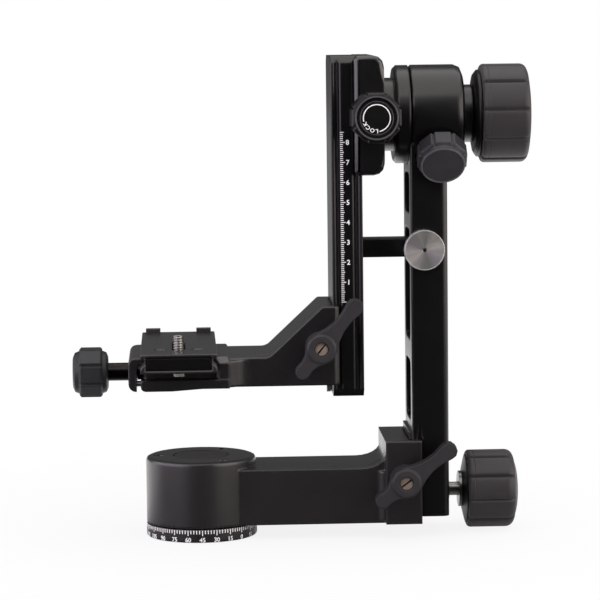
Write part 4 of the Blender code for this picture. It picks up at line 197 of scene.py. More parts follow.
# %% The anodised finishes
anodised = blasted("black_anodised_aluminium", "#1b191a", "#232021", 0.36, coat=0.8, edge_mm=1.7)
deep_anodised = blasted("deep_black_anodised_aluminium", "#121011", "#191718", 0.36, coat=1.0, edge_mm=1.7)
disc_anodised = blasted("grey_anodised_disc", "#302d2a", "#3b3834", 0.4, coat=0.3, edge_mm=0.3)
fine_anodised = blasted("fine_black_anodised_aluminium", "#040405", "#070708", 0.3, coat=0.5, edge_mm=1.6,
                        grain_mm=0.4, depth_mm=0.012, ior=SEALED_IOR)
clamp_anodised = blasted("rounded_black_anodised_aluminium", "#040405", "#070708", 0.3, coat=0.9,
                         edge_mm=0.8, grain_mm=0.4, depth_mm=0.012)
print("anodised finishes:", anodised.name, deep_anodised.name, disc_anodised.name, fine_anodised.name,
      clamp_anodised.name)

# %% [markdown]
# ## Rubber and moulded plastic
# The two big lock knobs wear a grip of soft rubber, which scatters light and has a weak, wide
# highlight. The small knobs are moulded ABS and the levers nylon with glass fibre in it. They come out
# of a spark-eroded mould with a fine even grain, which breaks their highlight up. That grain is about
# 0.2 mm, and it is drawn 0.5 mm wide so that it shows. The rims and steps of the knobs get a lighter,
# glossier grey that paints their highlight, the hubs and the lock knob are a deeper black, and the spacers
# are nylon without any dye.


# %% Rubber and moulded plastic
RUBBER_IOR, PLASTIC_IOR = 1.5, 1.53
SHEEN_ROUGHNESS = 0.6
PATCH_MM = 8


def moulded(name, dark, light, roughness, grain_mm=0.5, depth_mm=0.02, ior=PLASTIC_IOR, sheen=0.0,
            edge_mm=0.6):
    """A moulded finish with an even grain from the mould."""
    material, tree, shader = new_material(name, dark, roughness, IOR=ior, Sheen_Weight=sheen,
                                          Sheen_Roughness=SHEEN_ROUGHNESS)
    place = add(tree, "ShaderNodeTexCoord").outputs["Object"]
    grain = add(tree, "ShaderNodeTexVoronoi", {"Scale": per_metre(grain_mm), "feature": "SMOOTH_F1"},
                Vector=place)
    patches = add(tree, "ShaderNodeTexNoise", {"Scale": per_metre(PATCH_MM), "Detail": 4.0}, Vector=place)
    shade = add(tree, "ShaderNodeMix", {"data_type": "RGBA", "A": linear(dark), "B": linear(light)},
                Factor=patches.outputs["Fac"])
    gloss = add(tree, "ShaderNodeMapRange", {"To Min": roughness - 0.04, "To Max": roughness + 0.06},
                Value=patches.outputs["Fac"])
    soft_edge = add(tree, "ShaderNodeBevel", {"samples": EDGE_SAMPLES, "Radius": edge_mm * MM})
    texture = add(tree, "ShaderNodeBump", {"Strength": 0.35, "Distance": depth_mm * MM},
                  Height=grain.outputs["Distance"], Normal=soft_edge.outputs["Normal"])
    tree.links.new(shade.outputs["Result"], shader.inputs["Base Color"])
    tree.links.new(gloss.outputs["Result"], shader.inputs["Roughness"])
    tree.links.new(texture.outputs["Normal"], shader.inputs["Normal"])
    return material


rubber = moulded("soft_black_rubber", "#2b282a", "#343133", 0.45, grain_mm=0.6, depth_mm=0.03,
                 ior=RUBBER_IOR, sheen=0.1, edge_mm=0.12)
abs_black = moulded("moulded_black_abs", "#232628", "#2c2f32", 0.42, edge_mm=1.0)
abs_face = moulded("drag_knob_abs", "#2c2a2f", "#363439", 0.4, edge_mm=1.0)
# A lighter, glossier grey for the knobs' rims and steps, which paints their highlight.
abs_rim_highlight = moulded("abs_painted_highlight", "#454448", "#535256", 0.28, depth_mm=0.01)
abs_deep = moulded("deep_black_abs", "#070708", "#0c0c0d", 0.35, edge_mm=0.8)
nylon = moulded("glass_filled_nylon", "#2b292c", "#353236", 0.45, depth_mm=0.025, edge_mm=1.1)
white_nylon = moulded("natural_nylon", "#d8d4c8", "#e4e1d6", 0.4, grain_mm=0.8, depth_mm=0.01)
print("moulded finishes:", rubber.name, abs_black.name, nylon.name, white_nylon.name)

# %% [markdown]
# ## How turned metal looks
# Shafts, screws and bearing rings are turned on a lathe. The tool leaves rings about 0.1 mm apart round
# the axis, and they draw the highlight out across themselves. The rings are drawn 0.35 mm apart so that
# they show, as a wave of the distance from the axis, and the shader's anisotropy does the stretching
# along a tangent that runs over them. Metals keep the default IOR, and their colour is their
# reflection. A disc that was faced off gets soft light and dark streaks from its middle outwards instead
# of stains, which paint its sheen into its colour.


# %% A turned metal
STAIN_MM = 6
# On the faced disc these streaks paint its sheen into the colour.
STREAK_MM, STREAK_RADIUS_MM = 9.0, 9.9  # streaks are 9 mm apart near the edge of the disc
ALONG_X, ALONG_Y, UPWARDS = (1, 0, 0), (0, 1, 0), (0, 0, 1)


def turned_metal(name, dark, light, roughness, axis, centre, pitch_mm=0.35, depth_mm=0.006, stretch=0.4,
                 streaks=False):
    """A metal with lathe rings round an axis that passes through centre."""
    material, tree, shader = new_material(name, light, roughness, 1.0, Anisotropic=stretch)
    place = add(tree, "ShaderNodeTexCoord").outputs["Object"]
    offset = add(tree, "ShaderNodeVectorMath", {"operation": "SUBTRACT"}, place, centre).outputs["Vector"]
    across = add(tree, "ShaderNodeVectorMath", {"operation": "MULTIPLY"}, offset,
                 [0.0 if part else 1.0 for part in axis]).outputs["Vector"]
    radius = add(tree, "ShaderNodeVectorMath", {"operation": "LENGTH"}, across)
    along = add(tree, "ShaderNodeVectorMath", {"operation": "DOT_PRODUCT"}, offset, axis)
    total = add(tree, "ShaderNodeMath", {"operation": "ADD"}, radius.outputs["Value"], along.outputs["Value"])
    phase = add(tree, "ShaderNodeMath", {"operation": "MULTIPLY"}, total.outputs["Value"],
                2 * pi * per_metre(pitch_mm))
    wave = add(tree, "ShaderNodeMath", {"operation": "SINE"}, phase.outputs["Value"])
    # Painted sheen: streaks of light and dark from the middle outwards, in the colour.
    if streaks:
        spokes = add(tree, "ShaderNodeVectorMath", {"operation": "NORMALIZE"}, across)
        stains_and_sheen = add(tree, "ShaderNodeTexNoise", {"Scale": STREAK_RADIUS_MM / STREAK_MM, "Detail": 2.0,
                                                 "Roughness": 0.5}, Vector=spokes.outputs["Vector"])
    else:
        stains_and_sheen = add(tree, "ShaderNodeTexNoise", {"Scale": per_metre(STAIN_MM), "Detail": 5.0}, Vector=place)
    contrast = add(tree, "ShaderNodeMapRange", {"From Min": 0.3, "From Max": 0.7}, Value=stains_and_sheen.outputs["Fac"])
    shade = add(tree, "ShaderNodeMix", {"data_type": "RGBA", "A": linear(dark), "B": linear(light)},
                Factor=contrast.outputs["Result"])
    rings = add(tree, "ShaderNodeBump", {"Strength": 0.4, "Distance": depth_mm * MM},
                Height=wave.outputs["Value"])
    round_axis = add(tree, "ShaderNodeVectorMath", {"operation": "CROSS_PRODUCT"}, axis, offset)
    surface = add(tree, "ShaderNodeNewGeometry")
    over_rings = add(tree, "ShaderNodeVectorMath", {"operation": "CROSS_PRODUCT"},
                     surface.outputs["Normal"], round_axis.outputs["Vector"])
    tree.links.new(shade.outputs["Result"], shader.inputs["Base Color"])
    tree.links.new(rings.outputs["Normal"], shader.inputs["Normal"])
    tree.links.new(over_rings.outputs["Vector"], shader.inputs["Tangent"])
    return material


def middle_of(name):
    """The middle of a piece's box."""
    corner_low, corner_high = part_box(name)
    return (Vector(corner_low) + Vector(corner_high)) / 2


print("the thumbscrew's middle:", [round(part / MM, 1) for part in middle_of("latch_thumbscrew")], "mm")

# %% [markdown]
# ## The metals in the head
# One steel serves all plain shafts and screws, once for each axis that its rings run round. The bush is
# oiled bronze, and the shoe and the disc that rub are brass. The lever screws have a warm, dull plating,
# the small screws are bright zinc, and the clamp's shaft has the blue-black oxide of heated steel. The
# thumbscrew's face is the brightest metal on the head, with painted sheen in its colour, and its rim is a
# near-white steel with hardly a ring left, which paints the highlight on it.

# %% Turned metals
TILT_LEVEL = 212.6 * MM
PAN_LOCK_LEVEL = 20.6 * MM
PAN_AXIS = (UPWARDS, (0, 0, 0))
PAN_LOCK_AXIS = (ALONG_X, (0, 0, PAN_LOCK_LEVEL))
TILT_AXIS = (ALONG_X, (0, 0, TILT_LEVEL))
THUMBSCREW_AXIS = (ALONG_Y, middle_of("latch_thumbscrew"))
STEEL, BRASS, WARM_STEEL = ("#8d8c8a", "#a8a7a5"), ("#9a7f45", "#b89a5c"), ("#dcc5b2", "#f6e4d6")

pan_steel = turned_metal("turned_steel_pan", *STEEL, 0.3, *PAN_AXIS)
pan_lock_steel = turned_metal("turned_steel_pan_lock", *STEEL, 0.28, *PAN_LOCK_AXIS)
tilt_steel = turned_metal("turned_steel_tilt", *STEEL, 0.28, *TILT_AXIS)
bronze = turned_metal("oiled_bronze", "#6f5535", "#8a6b45", 0.4, *PAN_AXIS)
shoe_brass = turned_metal("turned_brass_shoe", *BRASS, 0.3, *PAN_LOCK_AXIS)
brake_brass = turned_metal("turned_brass_brake", *BRASS, 0.3, *TILT_AXIS)
# The faced disc's streaks, up to pure white, are painted sheen.
faced_steel = turned_metal("faced_steel_disc", "#c4c0bb", "#ffffff", 0.47, *THUMBSCREW_AXIS, pitch_mm=0.5,
                           depth_mm=0.01, stretch=0.75, streaks=True)
# A near-white steel for the thumbscrew's rim, which paints its highlight.
rim_highlight_steel = turned_metal("steel_rim_painted_highlight", "#f6f5f3", "#ffffff", 0.6, *THUMBSCREW_AXIS, pitch_mm=0.5,
                          depth_mm=0.001, stretch=0.0)
foot_screw_steel = turned_metal("bronzed_steel_screw_low", *WARM_STEEL, 0.55, ALONG_Y,
                                middle_of("foot_lever_screw"))
platform_screw_steel = turned_metal("bronzed_steel_screw_high", *WARM_STEEL, 0.55, ALONG_Y,
                                    middle_of("platform_lever_screw"))
bright_steel = turned_metal("bright_zinc_screw", "#e4dfd6", "#f8f4ec", 0.6, ALONG_X,
                            middle_of("rail_stop_screw"))
black_steel = turned_metal("black_oxide_steel", "#2b2828", "#3b3737", 0.24, ALONG_X,
                           middle_of("quick_release_shaft"))
print("turned metals:", faced_steel.name, bright_steel.name, black_steel.name, bronze.name)

# %% [markdown]
# ## Edges that catch the light
# No machined or moulded edge is perfectly sharp. A real edge break of a few tenths of a millimetre
# draws the thin bright lines that outline black parts in front of white. The CAD pieces stay as they
# are, so the edges are rounded by modifiers: a small node group joins the imported faces and smooths
# them where they meet at a shallow angle, a bevel then rounds the sharp edges that are left, and
# weighted normals keep the flat faces looking flat.


# %% A node group that welds and smooths
WELD_GAP = 0.002 * MM
SMOOTH_BELOW = radians(29)


def new_group(name):
    """An empty group of geometry nodes, with the node where a shape comes in and the one where it leaves."""
    group = bpy.data.node_groups.new(name, "GeometryNodeTree")
    for way in ("INPUT", "OUTPUT"):
        group.interface.new_socket("Geometry", in_out=way, socket_type="NodeSocketGeometry")
    return group, add(group, "NodeGroupInput"), add(group, "NodeGroupOutput")


welded, shape_in, shape_out = new_group("welded_and_smooth")
joined = add(welded, "GeometryNodeMergeByDistance", {"Distance": WELD_GAP}, Geometry=shape_in.outputs[0])
faces = add(welded, "GeometryNodeSetShadeSmooth", {"domain": "FACE"}, Geometry=joined.outputs[0])
fold = add(welded, "GeometryNodeInputMeshEdgeAngle")
shallow = add(welded, "FunctionNodeCompare", {"operation": "LESS_THAN"}, fold.outputs["Unsigned Angle"],
              SMOOTH_BELOW)
edges = add(welded, "GeometryNodeSetShadeSmooth", {"domain": "EDGE"}, Geometry=faces.outputs[0],
            Shade_Smooth=shallow.outputs[0])
welded.links.new(edges.outputs[0], shape_out.inputs[0])
print("edges flatter than", round(degrees(SMOOTH_BELOW)), "degrees are shaded as curved")

# %% Rounding by modifiers
FLAT_WITHIN = radians(0.5)
EDGE_STEPS = 2


def join_faces(piece, flatten=True):
    """Weld a piece's faces and, where asked, merge the small faces of each flat area into one."""
    weld = piece.modifiers.new("welded", "NODES")
    weld.node_group = welded
    if flatten:
        flat = piece.modifiers.new("flat_faces", "DECIMATE")
        flat.decimate_type = "DISSOLVE"
        flat.angle_limit = FLAT_WITHIN


def break_edges(piece, width_mm):
    """Join a piece's faces and round its sharp edges; a width of nought leaves them sharp."""
    join_faces(piece, flatten=width_mm > 0)
    if width_mm > 0:
        bevel = piece.modifiers.new("edge_break", "BEVEL")
        bevel.width = width_mm * MM
        bevel.segments = EDGE_STEPS
        bevel.limit_method = "ANGLE"
        bevel.angle_limit = SMOOTH_BELOW
        bevel.harden_normals = True
        bevel.miter_outer = "MITER_ARC"
    level = piece.modifiers.new("level_flats", "WEIGHTED_NORMAL")
    level.keep_sharp = True


print("faces within", round(degrees(FLAT_WITHIN), 1), "degrees are merged before an edge is rounded")

# %% [markdown]
# ## A finish for every piece
# One table says which finish each group of pieces has and how wide its edge break is, in millimetres.
# Castings and machined blocks have about 0.3 mm, moulded parts a little more, and small turned screws
# less. The camera plate's edges stay crisp. Only the rail clamp isn't in the table, because its edges
# are made in another way.

# %% Finishes of the pieces that stay as engineered
FINISHES = [
    (anodised, 0.3, ["base_ring", "base_arm"]),
    (deep_anodised, 0.3, ["platform", "moving_jaw"]),
    (disc_anodised, 0.2, ["cap_disc"]),
    (anodised, 0.0, ["camera_plate"]),
    (fine_anodised, 0.3, ["upright", "hub_end_cap", "latch_bar", "tilt_collar", "rail"]),
    (nylon, 0.35, ["foot_lever", "platform_lever"]),
    (abs_black, 0.35, ["quick_release_knob"]),
    (abs_face, 0.35, ["drag_knob"]),
    (abs_deep, 0.35, ["pan_knob_hub", "tilt_knob_hub", "rail_lock_knob"]),
    (rubber, 0.3, ["pan_lock_knob", "tilt_lock_knob", "plate_stop_left", "plate_stop_right"]),
    (white_nylon, 0.1, ["latch_spacer_front", "latch_spacer_rear", "drag_shoe"]),
    (bronze, 0.1, ["pan_bush"]),
    (shoe_brass, 0.1, ["pan_clamp_shoe"]),
    (brake_brass, 0.1, ["tilt_brake_disc"]),
    (pan_lock_steel, 0.1, ["pan_lock_rod", "pan_rod_washer", "pan_knob_washer"]),
    (tilt_steel, 0.1, ["tilt_bearing_left", "tilt_bearing_right", "tilt_lock_screw", "tilt_shaft",
                       "rail_clamp_screw_lower", "rail_clamp_screw_upper"]),
    (bright_steel, 0.1, ["rail_stop_screw", "plate_safety_screw_front", "plate_safety_screw_rear"]),
    (pan_steel, 0.1, ["pan_spindle", "pan_bearing_inner_race", "pan_bearing_balls", "pan_retaining_nut",
                      "pan_bearing_outer_race", "foot_clamp_bolt", "platform_clamp_bolt", "drag_screw",
                      "rail_lock_bolt", "jaw_guide_pin_front", "jaw_guide_pin_rear", "camera_screw"]),
    (faced_steel, 0.2, ["latch_thumbscrew"]),
    (foot_screw_steel, 0.1, ["foot_lever_screw"]),
    (platform_screw_steel, 0.1, ["platform_lever_screw"]),
    (black_steel, 0.1, ["quick_release_shaft", "cap_screw_1", "cap_screw_2", "cap_screw_3"]),
]


def give_finish(name, finish):
    """Put a finish on an engineered piece, in place of the plain one that it came with."""
    nodes[name].data.materials.clear()
    nodes[name].data.materials.append(finish)
    return nodes[name]


dressed = set()
for finish, edge_mm, names in FINISHES:
    for name in names:
        break_edges(give_finish(name, finish), edge_mm)
        dressed.add(name)
print("pieces with a finish:", len(dressed), "- still to come:", sorted(set(nodes) - dressed))

# %% [markdown]
# ## The rail clamp's rounded faces
# The clamp that holds the rail is rounded all round its front and back faces, which gives it the broad
# light bands of the photograph. A bevel that goes by angle would round every edge, so a node group
# marks only the sharp edges that lie in those two planes, away from the bore for the lock bolt, and
# the bevel goes by the marks.

# %% Rounded clamp
CLAMP_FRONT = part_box("rail_clamp")[0].y
ROUNDING, ROUNDING_STEPS = 2.6 * MM, 5
PLANE_SLACK, SQUARE_EDGE = 0.02 * MM, radians(60)
BORE_X, BORE_Z, BORE_REACH = 88.0 * MM, TILT_LEVEL, 8.0 * MM

marked, shape_in, shape_out = new_group("marked_for_rounding")
spot = add(marked, "GeometryNodeInputPosition").outputs["Position"]
parts = add(marked, "ShaderNodeSeparateXYZ", Vector=spot)
depth_off = add(marked, "ShaderNodeMath", {"operation": "ABSOLUTE"}, parts.outputs["Y"])
in_plane = add(marked, "ShaderNodeMath", {"operation": "GREATER_THAN"}, depth_off.outputs[0],
               -CLAMP_FRONT - PLANE_SLACK)
fold = add(marked, "GeometryNodeInputMeshEdgeAngle")
square = add(marked, "ShaderNodeMath", {"operation": "GREATER_THAN"}, fold.outputs["Unsigned Angle"],
             SQUARE_EDGE)
bore = add(marked, "ShaderNodeCombineXYZ", {"X": BORE_X, "Z": BORE_Z}, Y=parts.outputs["Y"])
apart = add(marked, "ShaderNodeVectorMath", {"operation": "DISTANCE"}, spot, bore.outputs["Vector"])
outside_bore = add(marked, "ShaderNodeMath", {"operation": "GREATER_THAN"}, apart.outputs["Value"],
                   BORE_REACH)
both = add(marked, "ShaderNodeMath", {"operation": "MULTIPLY"}, in_plane.outputs[0], square.outputs[0])
weight = add(marked, "ShaderNodeMath", {"operation": "MULTIPLY"}, both.outputs[0], outside_bore.outputs[0])
store = add(marked, "GeometryNodeStoreNamedAttribute",
            {"data_type": "FLOAT", "domain": "EDGE", "Name": "bevel_weight_edge"},
            Geometry=shape_in.outputs[0], Value=weight.outputs[0])
marked.links.new(store.outputs["Geometry"], shape_out.inputs[0])

clamp = give_finish("rail_clamp", clamp_anodised)
join_faces(clamp)
marking = clamp.modifiers.new("marked_edges", "NODES")
marking.node_group = marked
rounding = clamp.modifiers.new("rounded_faces", "BEVEL")
rounding.width = ROUNDING
rounding.segments = ROUNDING_STEPS
rounding.limit_method = "WEIGHT"
rounding.use_clamp_overlap = False
rounding.miter_outer = "MITER_SHARP"
rounding.harden_normals = True
print("rail clamp rounded by", ROUNDING / MM, "mm on its front and back")

# %% [markdown]
# ## Small pieces on top of the engineered ones
# Printed scales, words and threads are too fine for the engineering model, so they are made here as
# thin solids of their own. Each lies on the face that carries it and rides on the same body, so it
# moves with its joint. One helper turns a mesh that is being built into a finished piece, and the
# others draw slabs, letters and the skin of a tube into such a mesh.


# %% From a mesh to a finished piece
def publish(name, shape, material, body, smooth=False):
    """Turn a shape into an object with a finish that rides on a body."""
    bmesh.ops.recalc_face_normals(shape, faces=shape.faces[:])
    mesh = bpy.data.meshes.new(name)
    shape.to_mesh(mesh)
    shape.free()
    mesh.materials.append(material)
    mesh.polygons.foreach_set("use_smooth", [smooth] * len(mesh.polygons))
    piece = bpy.data.objects.new(name, mesh)
    bpy.context.scene.collection.objects.link(piece)
    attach(piece, body)
    return piece


# %% Drawing into a mesh
CAPITAL_SHARE = 0.7  # of the font's size, the height of a capital or a figure
BOLDER, LETTER_STEPS = 0.03, 3


def add_slab(shape, corners, near, far, place):
    """A flat closed slab with these corners, from depth near to far; place maps (across, up, depth)."""
    front = [shape.verts.new(place(across, up, far)) for across, up in corners]
    back = [shape.verts.new(place(across, up, near)) for across, up in corners]
    shape.faces.new(front)
    shape.faces.new(back[::-1])
    for step in range(len(corners)):
        after = (step + 1) % len(corners)
        shape.faces.new((front[after], front[step], back[step], back[after]))


def add_rectangle(shape, left, right, low, high, near, far, place):
    """A rectangular slab."""
    add_slab(shape, [(left, low), (right, low), (right, high), (left, high)], near, far, place)


def add_letters(shape, text, height, thickness, place):
    """Letters of a given height, centred on nought and bent or turned to their place."""
    curve = bpy.data.curves.new("letters", "FONT")
    curve.body = text
    curve.size = height / CAPITAL_SHARE
    curve.align_x = "CENTER"
    curve.extrude = thickness / 2
    curve.offset = height * BOLDER
    curve.resolution_u = LETTER_STEPS
    source = bpy.data.objects.new("letters", curve)
    mesh = bpy.data.meshes.new_from_object(source)
    verts = [shape.verts.new(place(v.co.x, v.co.y - height / 2, v.co.z)) for v in mesh.vertices]
    for polygon in mesh.polygons:
        corners = [verts[index] for index in polygon.vertices]
        if len(set(corners)) > 2:
            shape.faces.new(corners)
    bpy.data.objects.remove(source)
    bpy.data.curves.remove(curve)
    bpy.data.meshes.remove(mesh)


def skin(shape, rings):
    """Faces between each ring of points and the next, and one across each end."""
    around = len(rings[0])
    for near_ring, far_ring in zip(rings, rings[1:]):
        for step in range(around):
            after = (step + 1) % around
            shape.faces.new((near_ring[step], near_ring[after], far_ring[after], far_ring[step]))
    shape.faces.new(rings[0][::-1])
    shape.faces.new(rings[-1])


print("letters are drawn", BOLDER, "of their height bolder on each side")

# %% [markdown]
# ## White ink
# The scales are screen-printed or filled with white epoxy ink. It is matte, slightly warm and a little
# uneven, because the film is only some hundredths of a millimetre thick.

# %% White ink
INK_PATCH_MM = 0.6
white_ink, ink_tree, ink_shader = new_material("white_epoxy_ink", "#f7f7f6", 0.5)
ink_place = add(ink_tree, "ShaderNodeTexCoord")
ink_film = add(ink_tree, "ShaderNodeTexNoise", {"Scale": per_metre(INK_PATCH_MM), "Detail": 3.0},
               Vector=ink_place.outputs["Object"])
ink_shade = add(ink_tree, "ShaderNodeMix",
                {"data_type": "RGBA", "A": linear("#ececea"), "B": linear("#ffffff")},
                Factor=ink_film.outputs["Fac"])
ink_tree.links.new(ink_shade.outputs["Result"], ink_shader.inputs["Base Color"])
print("ink:", white_ink.name)

# %% [markdown]
# ## The degree scale round the base
# The base ring carries a scale so that the photographer can read how far the head has panned: a short
# mark every 3 degrees, a long one every 15, and numbers that count both ways from nought. It could be
# a texture, but marks as thin solids stay crisp and need no image. The ring is a polygon of flat
# facets, so each mark starts just inside it and ends a few hundredths of a millimetre outside.

# %% Degree scale
RING_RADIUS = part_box("base_ring")[1].x
RING_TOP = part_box("base_ring")[1].z
NOUGHT_AT = radians(-45)
MARK_STEP_DEG, NUMBER_STEP_DEG = 3, 15
MARK_WIDTH = 0.46 * MM
MARK_TOP = RING_TOP - 0.4 * MM
SHORT_MARK, LONG_MARK = 1.75 * MM, 2.6 * MM
NUMBER_HEIGHT, NUMBER_LEVEL = 2.15 * MM, 1.55 * MM
INK_SINK, INK_PROUD = -0.25 * MM, 0.03 * MM


def round_the_ring(angle):
    """Map a flat drawing onto the ring's outside, centred at an angle round the pan axis."""
    def place(across, up, depth):
        turn = angle + across / RING_RADIUS
        reach = RING_RADIUS + depth
        return (reach * cos(turn), reach * sin(turn), up)
    return place


degree_scale = bmesh.new()
for degree in range(-180, 180, MARK_STEP_DEG):
    place = round_the_ring(NOUGHT_AT - radians(degree))
    numbered = degree % NUMBER_STEP_DEG == 0
    length = LONG_MARK if numbered else SHORT_MARK
    add_rectangle(degree_scale, -MARK_WIDTH / 2, MARK_WIDTH / 2, MARK_TOP - length, MARK_TOP,
                  INK_SINK, INK_PROUD, place)
    if numbered:
        add_letters(degree_scale, str(abs(degree)), NUMBER_HEIGHT, INK_PROUD - INK_SINK,
                    lambda x, y, z, put=place: put(x, NUMBER_LEVEL + y, z + (INK_PROUD + INK_SINK) / 2))
publish("degree_scale", degree_scale, white_ink, "base")
print("degree marks every", MARK_STEP_DEG, "degrees on a ring of radius", round(RING_RADIUS / MM, 2), "mm")

# %% [markdown]
# ## The centimetre scale on the rail
# The rail's front face has a scale in millimetres with a number at each centimetre, so that a lens can
# be set to the same height again. The marks start at a common line on the left; each fifth is longer
# and each tenth, beside its number, is the longest. The face is flat, so the ink needs to reach only a
# fifth as far into it as into the ring.

# %% Centimetre scale
RAIL_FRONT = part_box("rail")[0].y
SCALE_LEFT = 71.5 * MM
SCALE_FIRST = 119.74 * MM
SCALE_COUNT = 85
RAIL_MARK = 0.36 * MM
MARK_LENGTHS = {0: 2.4 * MM, 5: 1.9 * MM}
PLAIN_LENGTH = 1.45 * MM
RAIL_NUMBER, RAIL_NUMBER_X = 2.4 * MM, 75.2 * MM
FLAT_SINK = INK_SINK / 5


def on_the_rail(across, up, depth):
    """Map a flat drawing onto the front of the rail."""
    return (across, RAIL_FRONT - depth, up)


rail_scale = bmesh.new()
for millimetre in range(SCALE_COUNT + 1):
    level = SCALE_FIRST + millimetre * MM
    length = MARK_LENGTHS.get(millimetre % 10, PLAIN_LENGTH)
    add_rectangle(rail_scale, SCALE_LEFT, SCALE_LEFT + length, level - RAIL_MARK / 2, level + RAIL_MARK / 2,
                  FLAT_SINK, INK_PROUD, on_the_rail)
    if millimetre and millimetre % 10 == 0:
        add_letters(rail_scale, str(millimetre // 10), RAIL_NUMBER, INK_PROUD * 2,
                    lambda x, y, z, at=level: on_the_rail(RAIL_NUMBER_X + x, at + y, z))
publish("rail_scale", rail_scale, white_ink, "rail")
print("rail marks from", round(SCALE_FIRST / MM, 1), "mm up, one per millimetre")

# %% [markdown]
# ## The word on the lock knob
# The face of the rail's lock knob says which way it locks: an arc that starts at the word and runs
# round to its other end. The letters stand with their heads outwards, as if written on a wheel.

# %% Lock mark
KNOB_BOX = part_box("rail_lock_knob")
KNOB_X = (KNOB_BOX[0].x + KNOB_BOX[1].x) / 2
KNOB_Z = (KNOB_BOX[0].z + KNOB_BOX[1].z) / 2
RECESS, FACE_DISC = 0.8 * MM, 0.1 * MM
KNOB_FACE = KNOB_BOX[0].y + RECESS - FACE_DISC
ARC_RADIUS, ARC_WIDTH = 6.6 * MM, 0.48 * MM
ARC_FROM, ARC_TO = radians(-79), radians(194)
LETTER_RADIUS, LETTER_HEIGHT = 6.4 * MM, 1.9 * MM
LETTER_PLACES = {"L": 270, "O": 249, "C": 227, "K": 207}
ARC_STEPS = 72


def on_the_knob(x, z, depth):
    """Map a flat drawing, centred on the knob's axis, onto its recessed face."""
    return (KNOB_X + x, KNOB_FACE - depth, KNOB_Z + z)


lock_mark = bmesh.new()
inner, outer = ARC_RADIUS - ARC_WIDTH / 2, ARC_RADIUS + ARC_WIDTH / 2
section = [(inner, FLAT_SINK), (outer, FLAT_SINK), (outer, INK_PROUD), (inner, INK_PROUD)]
rows = []
for step in range(ARC_STEPS + 1):
    turn = ARC_FROM + (ARC_TO - ARC_FROM) * step / ARC_STEPS
    rows.append([lock_mark.verts.new(on_the_knob(r * cos(turn), r * sin(turn), d)) for r, d in section])
skin(lock_mark, rows)
for letter, angle in LETTER_PLACES.items():
    turn = radians(angle)
    add_letters(lock_mark, letter, LETTER_HEIGHT, INK_PROUD * 2,
                lambda x, y, z, t=turn: on_the_knob(
                    (LETTER_RADIUS + y) * cos(t) + x * sin(t), (LETTER_RADIUS + y) * sin(t) - x * cos(t), z))
publish("lock_mark", lock_mark, white_ink, "rail_lock")
print("lock mark on a face of radius", round((KNOB_BOX[1].x - KNOB_X) / MM, 1), "mm")

# %% [markdown]
# ## The camera stud's thread
# A thread is a ridge that climbs round a rod by one pitch for each turn. It could be cut with a
# swept profile, but a rod whose radius follows the thread's height is simpler and always closed: the
# height at a point depends only on how far up it is and how far round, counted in turns. The ridge is
# steeper than it needs to be to fill a turn, which leaves a flat strip between two ridges.


# %% Threaded rod
RIDGE_STEEPNESS = 1.4


def threaded_rod(start, end, crest, root, pitch, around=28, per_turn=6):
    """A closed rod along its own Z, whose radius follows a thread that fades at both ends."""
    shape = bmesh.new()
    levels = ceil((end - start) / pitch * per_turn)
    rings = []
    for level in range(levels + 1):
        z = start + (end - start) * level / levels
        fade = min(1.0, (z - start) / pitch, (end - z) / pitch)
        ring = []
        for step in range(around):
            turn = step / around
            wave = abs(2 * ((z / pitch - turn) % 1.0) - 1)
            radius = crest - (crest - root) * min(1.0, RIDGE_STEEPNESS * wave)
            radius = root + (radius - root) * fade
            ring.append(shape.verts.new((radius * cos(2 * pi * turn), radius * sin(2 * pi * turn), z)))
        rings.append(ring)
    skin(shape, rings)
    return shape


def turn_to(shape, direction, place):
    """Point a shape's own Z along a direction and move it to its place."""
    turn = Vector(direction).to_track_quat("Z", "Y").to_matrix().to_4x4()
    bmesh.ops.transform(shape, matrix=Matrix.Translation(place) @ turn, verts=shape.verts[:])
    return shape


print("a thread's ridge fills", round(100 / RIDGE_STEEPNESS), "percent of its pitch")

# %% [markdown]
# ## The camera stud
# The stud that screws into a camera has a quarter-inch thread, 6.2 mm over its ridges here, with 20
# turns to the inch, which is a pitch of 1.27 mm. Its head is a plain disc with a rounded edge. The two
# stand for the engineered screw, in the same place.

# %% Camera stud
STUD_CREST, STUD_ROOT, STUD_PITCH = 3.1 * MM, 2.45 * MM, 1.27 * MM
HEAD_DEPTH, HEAD_SIDES, HEAD_EDGE_MM = 3.0 * MM, 40, 0.3
stud_low, stud_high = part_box("camera_screw")
stud_x, stud_y = (stud_low.x + stud_high.x) / 2, (stud_low.y + stud_high.y) / 2
head_radius = (stud_high.x - stud_low.x) / 2
stud_steel = turned_metal("polished_steel_stud", "#a3a19d", "#c4c2be", 0.22, UPWARDS, (stud_x, stud_y, 0))

stud = threaded_rod(stud_low.z + HEAD_DEPTH, stud_high.z, STUD_CREST, STUD_ROOT, STUD_PITCH)
turn_to(stud, UPWARDS, (stud_x, stud_y, 0))
stud_head = bmesh.new()
bmesh.ops.create_cone(stud_head, cap_ends=True, segments=HEAD_SIDES, radius1=head_radius,
                      radius2=head_radius, depth=HEAD_DEPTH)
bmesh.ops.translate(stud_head, verts=stud_head.verts[:],
                    vec=(stud_x, stud_y, stud_low.z + HEAD_DEPTH / 2))
camera_stud = publish("camera_stud", stud, stud_steel, "camera_screw", smooth=True)
camera_stud_head = publish("camera_stud_head", stud_head, stud_steel, "camera_screw")
break_edges(camera_stud_head, HEAD_EDGE_MM)
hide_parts("camera_screw")

# %% [markdown]
# ## Finer grips on the two big knobs
# Each lock knob has a rubber grip with ten broad lobes. Between them are narrow V-grooves for the
# fingers: the wall that faces up catches the light and the one that faces down is dark. The engineered
# grip has a shallow valley there, so the grip is drawn again with more points round each lobe, in the
# same space. A thin seam runs round it where the two halves of the mould met.


# %% Lobed grips
GRIP_LOBES = 10
